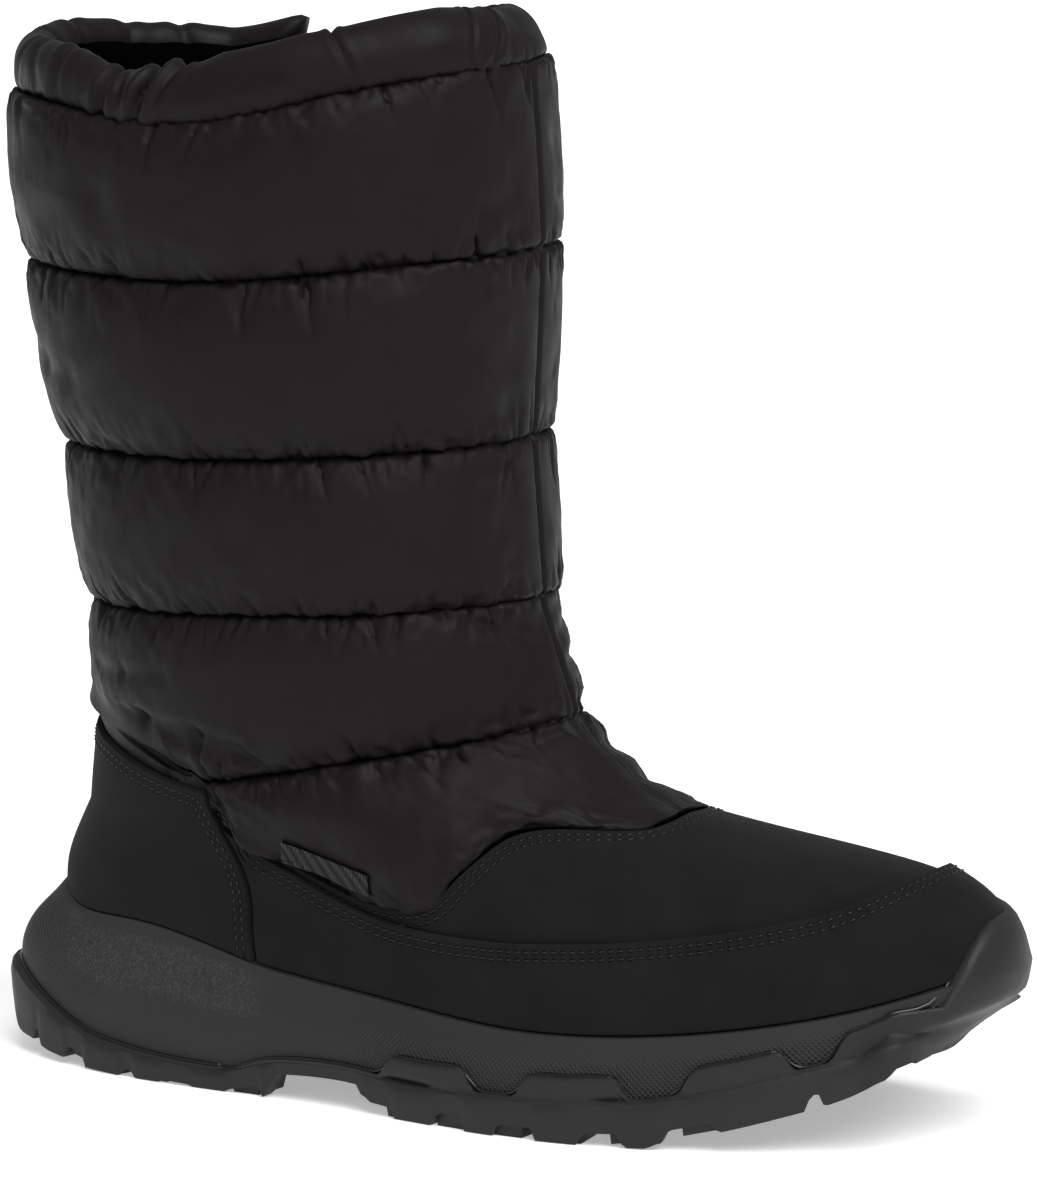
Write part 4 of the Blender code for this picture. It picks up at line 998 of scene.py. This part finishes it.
quilt_grid = twice(quilt_grid)
down, along, girth = laid_out(quilt_grid)
turn = along / girth
seam_rows = np.arange(0, len(quilt_grid), 2 * STEPS_DOWN)
relief = np.zeros(quilt_grid.shape[:2])
draw = np.random.default_rng(11)
for row in seam_rows[:-1]:                                      # the nubuck covers the last row
    room = np.clip((down[-1] - down[row] - RUN_OUT[0]) / RUN_OUT[1], 0, 1)
    for side in (-1, 1):
        if row + side < 0:
            continue
        reach = slice(row, row + 2 * STEPS_DOWN) if side > 0 else slice(row - 2 * STEPS_DOWN, row)
        away = np.abs(down[reach] - down[row])
        place = 0.0
        while place < girth[row, 0]:
            place += GATHER_SPACING * draw.uniform(0.45, 1.9)
            strength = draw.uniform(0.25, 1.0) ** 2.2
            length = GATHER_LENGTH * draw.uniform(0.5, 1.3) * (0.5 + strength)
            lean, width = draw.uniform(-0.35, 0.35), GATHER_WIDTH * draw.uniform(0.7, 1.4)
            across = turn[reach] * girth[row, 0] - place - lean * away
            relief[reach] -= (GATHER_DEPTH * strength * room * np.exp(-(across / width) ** 2)
                              * np.clip(1 - away / length, 0, 1) ** 0.8)
    away = np.abs(down - down[row])
    relief -= SEAM_DEPTH * room * np.exp(-(away / SEAM_WIDTH) ** 2)
    relief += SEAM_FILL * (1 - room) * np.exp(-(away / 0.0035) ** 2)
    pricks = np.exp(-(away / NEEDLE_WIDTH) ** 2) * np.cos(pi * turn * girth[row, 0] / NEEDLE_PITCH) ** 2
    relief -= NEEDLE_DEPTH * room * pricks
from_front = np.minimum(turn, 1 - turn) * girth
relief -= FRONT_SEAM_DEPTH * np.exp(-(from_front / FRONT_SEAM_WIDTH) ** 2)
relief -= NEEDLE_DEPTH * np.exp(-(from_front / NEEDLE_WIDTH) ** 2) * np.cos(pi * down / NEEDLE_PITCH) ** 2
height = quilt_grid[..., 2]
hem_fold = np.exp(-((down[-1] - down - 0.005) / 0.006) ** 2)
at_heel = np.clip(1 - np.abs(turn - HEEL_TURN) / 0.22, 0, 1)
at_waist = np.clip(np.minimum(turn - 0.72, 0.90 - turn) / 0.02, 0, 1)
relief += (0.0009 + 0.0024 * at_heel ** 0.5 - 0.0019 * at_waist) * hem_fold     # full where nubuck grips it
at_front = np.exp(-(np.minimum(turn, 1 - turn) / 0.05) ** 2)
relief += 0.0026 * at_front * np.clip(1 - ((height - 0.108) / 0.026) ** 2, 0, 1)        # fuller at the instep
label_low, label_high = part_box("side_label")
label_middle = (label_low + label_high) / 2
over_label = np.clip(1 - np.abs(quilt_grid[..., 0] - label_middle.x) / 0.024, 0, 1)
over_label *= (quilt_grid[..., 1] < 0) * np.clip(1 - np.abs(height - label_middle.z) / 0.014, 0, 1)
relief -= 0.0030 * np.sqrt(over_label)                          # and flat behind the woven label
flat_place = np.stack([turn * LEG_GIRTH, height], axis=-1)
for points, depth, width in CREASES:
    corners = np.array(points) * (LEG_GIRTH, 1)
    for a, b in zip(corners[:-1], corners[1:]):
        share = np.clip((flat_place - a) @ (b - a) / np.sum((b - a) ** 2), 0, 1)[..., None]
        off = np.sum((flat_place - a - share * (b - a)) ** 2, axis=-1)
        relief -= depth * np.exp(-off / width ** 2)
quilt_out = outward(quilt_grid)
leg_out = outward(quilt_grid[seam_rows])                        # square to the leg, across the puffs
row_share = np.interp(np.arange(len(quilt_grid)), seam_rows, np.arange(len(seam_rows)))
low_share = np.floor(row_share).astype(int).clip(0, len(seam_rows) - 2)
mix = (row_share - low_share)[:, None, None]
leg_out = leg_out[low_share] * (1 - mix) + leg_out[low_share + 1] * mix
near = np.exp(-(np.min(np.abs(down[None] - down[seam_rows][:, None]), axis=0) / 0.004) ** 2)[..., None]
push = quilt_out * (1 - near) + leg_out * near
quilt_grid = quilt_grid + push * relief[..., None]

lining = np.array([finer(evenly(r), 2) for r in wall_rings("shaft", LINING_RINGS, -1)])
narrow = 1 - np.clip((down[-1] - down[seam_rows[-2]] - RUN_OUT[0]) / RUN_OUT[1], 0, 1)
pulled_rows = np.arange(seam_rows[-2] - 10, len(quilt_grid) - 1)
for _ in range(60):                                             # the counter pulls the narrow band smooth
    pulled_band = quilt_grid[pulled_rows]
    middle = (quilt_grid[pulled_rows - 1] + quilt_grid[pulled_rows + 1] + np.roll(pulled_band, 1, 1)
              + np.roll(pulled_band, -1, 1)) / 4
    quilt_grid[pulled_rows] += (middle - quilt_grid[pulled_rows]) * narrow[None, :, None]
tuck = np.clip(4 - np.abs(turn[-1] - HEEL_TURN) / 0.04, 0.05, 1)[:, None]       # behind the counter
tucked = quilt_grid[-1] - (leg_out[-1] * HEM_TUCK[0] + np.array([0, 0, HEM_TUCK[1]])) * tuck
whole = np.concatenate([quilt_grid, [tucked], lining[::-1]])
rows, columns = whole.shape[:2]
last = (rows - 1) * columns
closing = [(last + j, j, (j + 1) % columns, last + (j + 1) % columns) for j in range(columns)]
quilt = new_piece("quilted_shaft", whole, grid_faces(rows, columns) + closing)

# Down-proof plain-woven nylon, 0.45 mm from thread to thread: dull, with a soft sheen that wanders
# where the cloth is pulled. It is laid out along the cloth's own length and depth.
THREAD_GAP = 0.00045
nylon_cloth = new_material("woven_nylon_shell")
place = add_node(nylon_cloth, "ShaderNodeAttribute", attribute_name="cloth_place")
threads = [ribs_of(nylon_cloth, place.outputs["Vector"], pi / 10 / THREAD_GAP, axis) for axis in ("X", "Y")]
body_place = add_node(nylon_cloth, "ShaderNodeTexCoord").outputs["Object"]
pulled = noise(nylon_cloth, body_place, 70.0, 3.0, Roughness=0.55)
tint = blend(nylon_cloth, pulled, linear("#0e0b0b"), linear("#151111"))
bumps = bump(nylon_cloth, maths(nylon_cloth, "MULTIPLY", *threads), 0.35, 0.00004)
bumps = bump(nylon_cloth, noise(nylon_cloth, body_place, 1500.0, 1.0), 0.25, 0.00006, bumps)
surfaced(nylon_cloth, tint, ranged(nylon_cloth, pulled, 0.3, 0.7, 0.44, 0.66), 0.13, {"Normal": bumps})
quilt.data.materials.append(nylon_cloth)
quilt.data.materials.append(plush_and_inner_shade)
for face in quilt.data.polygons:                        # plush from the tucked hem inwards
    face.material_index = int(min(face.vertices) >= turn.size)
cloth_place = np.zeros((rows * columns, 3), np.float32)
cloth_place[:turn.size, 0] = (turn * girth).ravel()
cloth_place[:turn.size, 1] = down.ravel()
tucked_in = slice(turn.size, turn.size + columns)
cloth_place[tucked_in, 0] = (turn * girth)[-1]
cloth_place[tucked_in, 1] = down[-1] + np.hypot(*HEM_TUCK) * tuck[:, 0]
laid_flat = quilt.data.attributes.new("cloth_place", "FLOAT_VECTOR", "POINT")
laid_flat.data.foreach_set("vector", cloth_place.ravel())
smooth(quilt, 60)
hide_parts("shaft")
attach(quilt, "boot")


# ---------------------------------------------------------------- collar
# The shaft's top hem: nylon rolled over a cord of padding and sewn down along the top seam. It
# leans inwards, creases where it bends, and is open over the zip, where its rear end turns up.
COLLAR_PROFILE = (       # millimetres out from the seam and up
    (-1.4, -0.8), (0.6, 1.2), (1.3, 5.0), (0.6, 9.5), (-2.0, 13.3), (-5.6, 15.0), (-9.0, 13.8), (-11.0, 10.5),
    (-11.4, 6.0), (-10.6, 1.0), (-9.2, -3.5), (-5.0, -4.0))
PROFILE_STEPS, LINED = 4, (29, 43)
COLLAR_HEIGHTS = (      # share of the way round, height
    (0.0, 0.93), (0.12, 1.0), (0.20, 1.03), (0.24, 0.95), (0.30, 0.85), (0.338, 0.88), (0.36, 0.95),
    (0.39, 1.0), (0.415, 0.97), (0.45, 1.06), (0.486, 1.1), (0.53, 1.05), (0.56, 1.05), (0.635, 1.12),
    (0.665, 0.99), (0.694, 0.74), (0.71, 0.84), (0.739, 0.97), (0.756, 0.98), (0.775, 1.14), (0.828, 1.2),
    (0.858, 1.14), (0.93, 1.1), (0.955, 1.02), (1.0, 0.93))
COLLAR_LEAN = ((0.0, 0.45), (0.1, 0.25), (0.4, 0.0), (0.8, 0.0), (0.92, 0.15), (0.97, 0.3), (1.0, 0.45))
PLEATS = (      # share of the way round, depth and width, and lean
    (0.690, 0.0034, 0.0015, 0.25), (0.705, 0.0010, 0.0012, -0.2), (0.722, 0.0040, 0.0016, 0.35),
    (0.735, 0.0012, 0.0012, 0.6), (0.640, 0.0009, 0.0016, 0.1), (0.610, 0.0006, 0.0020, -0.3),
    (0.575, 0.0007, 0.0018, 0.3), (0.862, 0.0011, 0.0008, -0.5), (0.945, 0.0010, 0.0007, 0.4),
    (0.968, 0.0012, 0.0010, 0.7), (0.525, 0.0006, 0.0020, 0.3), (0.48, 0.0008, 0.0020, 0.2),
    (0.435, 0.0006, 0.0022, -0.2), (0.385, 0.0008, 0.0020, 0.3), (0.06, 0.0010, 0.0018, 0.2),
    (0.11, 0.0008, 0.0018, -0.3), (0.17, 0.0010, 0.0022, 0.3), (0.24, 0.0008, 0.0018, -0.2))
END_REACH, END_RISE, END_LAP, END_TRIM = 0.014, 0.0085, 0.0165, 9
UP = np.array([0, 0, 1.0])

seam_ring, seam_turn = quilt_grid[0], turn[0]
start, stop = 2 * (STEPS_ROUND[0] + STEPS_ROUND[1]), len(seam_ring) + 2 * STEPS_ROUND[0] - END_TRIM
stations = np.arange(start, stop + 1)
base = twice_round(np.array([evenly(r) for r in wall_rings("shaft", 1, 1)]))[0]
tangent = unit(np.roll(base, -1, 0) - np.roll(base, 1, 0))
out = unit(np.stack([tangent[:, 1], -tangent[:, 0], np.zeros(len(base))], axis=1))
profile = finer(np.array([(o / 1000, u / 1000, 0.0) for o, u in COLLAR_PROFILE]), PROFILE_STEPS)[:, :2]
middle = profile.mean(axis=0)
path = travelled(base[stations % len(base)])
ring_length = np.linalg.norm(np.roll(base, -1, 0) - base, axis=1).sum()
waves = np.random.default_rng(3)
sections = []
wave_terms = [(waves.uniform(0.012, 0.04), waves.uniform(0, 2 * pi), waves.uniform(-1.5, 1.5))
              for _ in range(7)]
gathers = np.random.default_rng(4)
ticks = np.cumsum(gathers.uniform(0.0016, 0.0055, 260))
tick_depths = gathers.uniform(0.2, 1.0, len(ticks)) ** 1.5
for k, station in enumerate(stations):
    j = station % len(base)
    share = seam_turn[j]
    tall = np.interp(share, *zip(*COLLAR_HEIGHTS))
    lean = np.interp(share, *zip(*COLLAR_LEAN))
    o, u = profile.T.copy()
    u = np.where(u > 0, u * tall, u)
    o = o - lean * np.clip(u, 0, 1)
    rise = np.clip(u / 0.015, 0, 1)
    puff = 0.00032 * sum(np.sin(path[k] / length + phase + drift * rise * 2)
                         for length, phase, drift in wave_terms)
    squeeze = puff * np.ones_like(o)
    for place, depth, width, slant in PLEATS:
        across = ((share - place + 0.5) % 1 - 0.5) * ring_length - slant * (u - 0.007)
        squeeze = squeeze - depth * np.exp(-(across / width) ** 2) * np.clip(0.25 + rise, 0, 1)
        squeeze = squeeze + 0.35 * depth * np.exp(-((np.abs(across) - 2.4 * width) / (1.4 * width)) ** 2)
    sharp = np.exp(-((path[k] - ticks[:, None]) / 0.0006) ** 2) * tick_depths[:, None]
    squeeze = squeeze - 0.0008 * sharp.sum(axis=0) * np.clip(1 - np.abs(u) / 0.005, 0, 1) * (o > -0.004)
    from_middle = np.stack([o - middle[0], u - middle[1]], axis=1)
    size = np.linalg.norm(from_middle, axis=1, keepdims=True)
    from_middle *= (size + squeeze[:, None]) / size
    from_end = min(path[k], path[-1] - path[k])
    round_off = sqrt(max(0.0, 1 - (1 - min(1.0, from_end / 0.0025)) ** 2)) * 0.75 + 0.25
    o, u = (from_middle * round_off + middle).T
    flare = max(0.0, 1 - path[k] / END_REACH) ** 2
    rise = np.clip((u + 0.004) / 0.018, 0, 1)
    lifted = (flare * rise)[:, None]
    point = base[j] + out[j] * o[:, None] + UP * u[:, None]
    sections.append(point - tangent[j] * END_LAP * lifted + UP * END_RISE * lifted)
roll = np.array(sections)
count = roll.shape[1]
faces = grid_faces(len(roll), count)
faces += [tuple(range(count)), tuple(reversed(range((len(roll) - 1) * count, len(roll) * count)))]
collar = new_piece("rolled_collar", roll, faces)
smooth(collar, 70)
collar.data.materials.append(nylon_cloth)
collar.data.materials.append(plush_and_inner_shade)
for k, face in enumerate(collar.data.polygons):       # the plush starts on the roll's inner side
    if k < (len(roll) - 1) * count and LINED[0] <= k % count < LINED[1]:
        face.material_index = 1
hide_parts("collar")
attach(collar, "boot")


# ---------------------------------------------------------------- zip
# A coil zip sewn into the medial side: woven tape, a nylon coil closed along the middle, and an
# enamelled zinc slider whose pull tab swings on a pin.
def woven(name, dark, pale, gap):
    """A ribbed narrow weave: its ribs this far apart."""
    cloth = new_material(name)
    place = add_node(cloth, "ShaderNodeTexCoord").outputs["Object"]
    knots = maths(cloth, "MULTIPLY", *(ribs_of(cloth, place, pi / 10 / gap / stretch, axis)
                                       for axis, stretch in (("X", 1.0), ("DIAGONAL", 1.6))))
    tint = blend(cloth, knots, linear(dark), linear(pale))
    return surfaced(cloth, tint, 0.8, 0.15, {"Normal": bump(cloth, knots, 0.7, 0.0002)})


COIL_PITCH, TOOTH, ZIP_OUTWARD = 0.0015, (0.0026, 0.0008, 0.0011), Vector((-0.2609, 0.9654, 0.0))
zip_tape = woven("woven_zip_tape", "#0c0c0c", "#1e1d1d", 0.0007)
coil_nylon = new_material("extruded_nylon_coil")
surfaced(coil_nylon, linear("#161616"), 0.38, 0.4)
enamel = new_material("black_enamelled_zinc")
place = add_node(enamel, "ShaderNodeTexCoord").outputs["Object"]
rough = ranged(enamel, noise(enamel, place, 350.0, 3.0), 0.0, 1.0, 0.22, 0.42)
surfaced(enamel, linear("#101010"), rough, 0.5)

tape = cad_copy("zip", "zip_tape")
rounded(tape, 0.0002, 2, 50)
smooth(tape, 50)
tape.data.materials.append(zip_tape)
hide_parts("zip")
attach(tape, "boot")

tape_points = np.array([v.co for v in tape.data.vertices])
tape_surface = surface_of(tape.data)
bpy.ops.mesh.primitive_cube_add(size=1)
tooth = bpy.context.object
worked(tooth, "BEVEL", width=0.28, segments=3)
tooth_shape = np.array([v.co for v in tooth.data.vertices])
tooth_faces = [tuple(p.vertices) for p in tooth.data.polygons]
bpy.data.objects.remove(tooth)
across = Vector((0, 0, 1)).cross(ZIP_OUTWARD)
verts, faces = [], []
levels = np.arange(tape_points[:, 2].min() + 0.003, tape_points[:, 2].max() - 0.002, COIL_PITCH / 2)
seats = []
for level in levels:
    near = tape_points[np.abs(tape_points[:, 2] - level) < 0.009]
    start = Vector((*near[:, :2].mean(axis=0), level)) + ZIP_OUTWARD * 0.02
    hit = tape_surface.ray_cast(start, -ZIP_OUTWARD, 0.05)[0]
    seats.append(hit if hit else (Vector(seats[-1]) + Vector((0, 0, COIL_PITCH / 2))))
seats = evened(np.array(seats), 8)
for k in range(1, len(seats) - 1):
    ahead = Vector(seats[k + 1] - seats[k - 1]).normalized()
    outward_here = across.cross(ahead).normalized()
    if outward_here.dot(ZIP_OUTWARD) < 0:
        outward_here = -outward_here
    frame_here = np.array([across * TOOTH[0], ahead * TOOTH[1], outward_here * TOOTH[2]])
    shift = np.array(across) * (0.0008 if k % 2 else -0.0008)
    verts.append(tooth_shape @ frame_here + seats[k] + shift)
    faces += [tuple(i + len(tooth_shape) * (len(verts) - 1) for i in face) for face in tooth_faces]
coil = new_piece("zip_coil", np.vstack(verts), faces, turn_out=False)
smooth(coil, 50)
coil.data.materials.append(coil_nylon)
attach(coil, "boot")

FITTINGS = (("zip_slider", "enamelled_slider", "boot"), ("zip_pull", "enamelled_pull_tab", "pull"))
for node, name, body in FITTINGS:
    metal = cad_copy(node, name)
    rounded(metal, 0.00025, 3, 30)
    smooth(metal, 40)
    metal.data.materials.append(enamel)
    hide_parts(node)
    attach(metal, body)


# ---------------------------------------------------------------- heel tab
# A folded loop of woven webbing, its ends caught under the heel counter's top edge, to pull the
# boot on by.
webbing = woven("woven_polyester_webbing", "#1a1919", "#454343", 0.0009)
heel_tab = cad_copy("heel_tab", "heel_tab_loop")
rounded(heel_tab, 0.0004, 2, 40)
smooth(heel_tab, 50)
heel_tab.data.materials.append(webbing)
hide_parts("heel_tab")
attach(heel_tab, "boot")


# ---------------------------------------------------------------- side label
# A short bare tape of woven polyester, lying on the nylon with its lower edge caught under the
# upper's.
LABEL_CORNER, LABEL_ALONG = (-0.0462, 0.0728), (0.9703, -0.2419)
LABEL_LENGTH, LABEL_DEPTH, LABEL_THICKNESS = 0.0285, 0.0070, 0.0009
LABEL_STEPS, LABEL_ROWS = 40, 16
quilt_surface = surface_of(quilt.data)
lying = np.zeros((LABEL_ROWS + 1, LABEL_STEPS + 1, 3))
for i in range(LABEL_ROWS + 1):
    for j in range(LABEL_STEPS + 1):
        along, deep = j / LABEL_STEPS * LABEL_LENGTH, i / LABEL_ROWS * LABEL_DEPTH
        x = LABEL_CORNER[0] + along * LABEL_ALONG[0] + deep * LABEL_ALONG[1]
        z = LABEL_CORNER[1] + along * LABEL_ALONG[1] - deep * LABEL_ALONG[0]
        hit = quilt_surface.ray_cast(Vector((x, -0.09, z)), Vector((0, 1, 0)), 0.1)[0]
        lying[i, j] = (x, hit.y if hit else lying[i - 1, j, 1], z)
for _ in range(12):
    lying[1:-1, :, 1] = (lying[:-2, :, 1] + 2 * lying[1:-1, :, 1] + lying[2:, :, 1]) / 4
    lying[:, 1:-1, 1] = (lying[:, :-2, 1] + 2 * lying[:, 1:-1, 1] + lying[:, 2:, 1]) / 4
lying[..., 1] -= 0.0004
layers = np.stack([lying - np.array([0, LABEL_THICKNESS, 0]), lying])
at = lambda layer, i, j: (layer * (LABEL_ROWS + 1) + i) * (LABEL_STEPS + 1) + j
faces = [(at(layer, i, j), at(layer, i, j + 1), at(layer, i + 1, j + 1), at(layer, i + 1, j))
         for layer in (0, 1) for i in range(LABEL_ROWS) for j in range(LABEL_STEPS)]
border = ([(0, j) for j in range(LABEL_STEPS)] + [(i, LABEL_STEPS) for i in range(LABEL_ROWS)]
          + [(LABEL_ROWS, j) for j in range(LABEL_STEPS, 0, -1)] + [(i, 0) for i in range(LABEL_ROWS, 0, -1)])
faces += [(at(0, *a), at(0, *b), at(1, *b), at(1, *a)) for a, b in zip(border, border[1:] + border[:1])]
label = new_piece("woven_side_label", layers, faces)
rounded(label, 0.0003, 2, 50)
smooth(label, 50)
label.data.materials.append(webbing)
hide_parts("side_label")
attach(label, "boot")
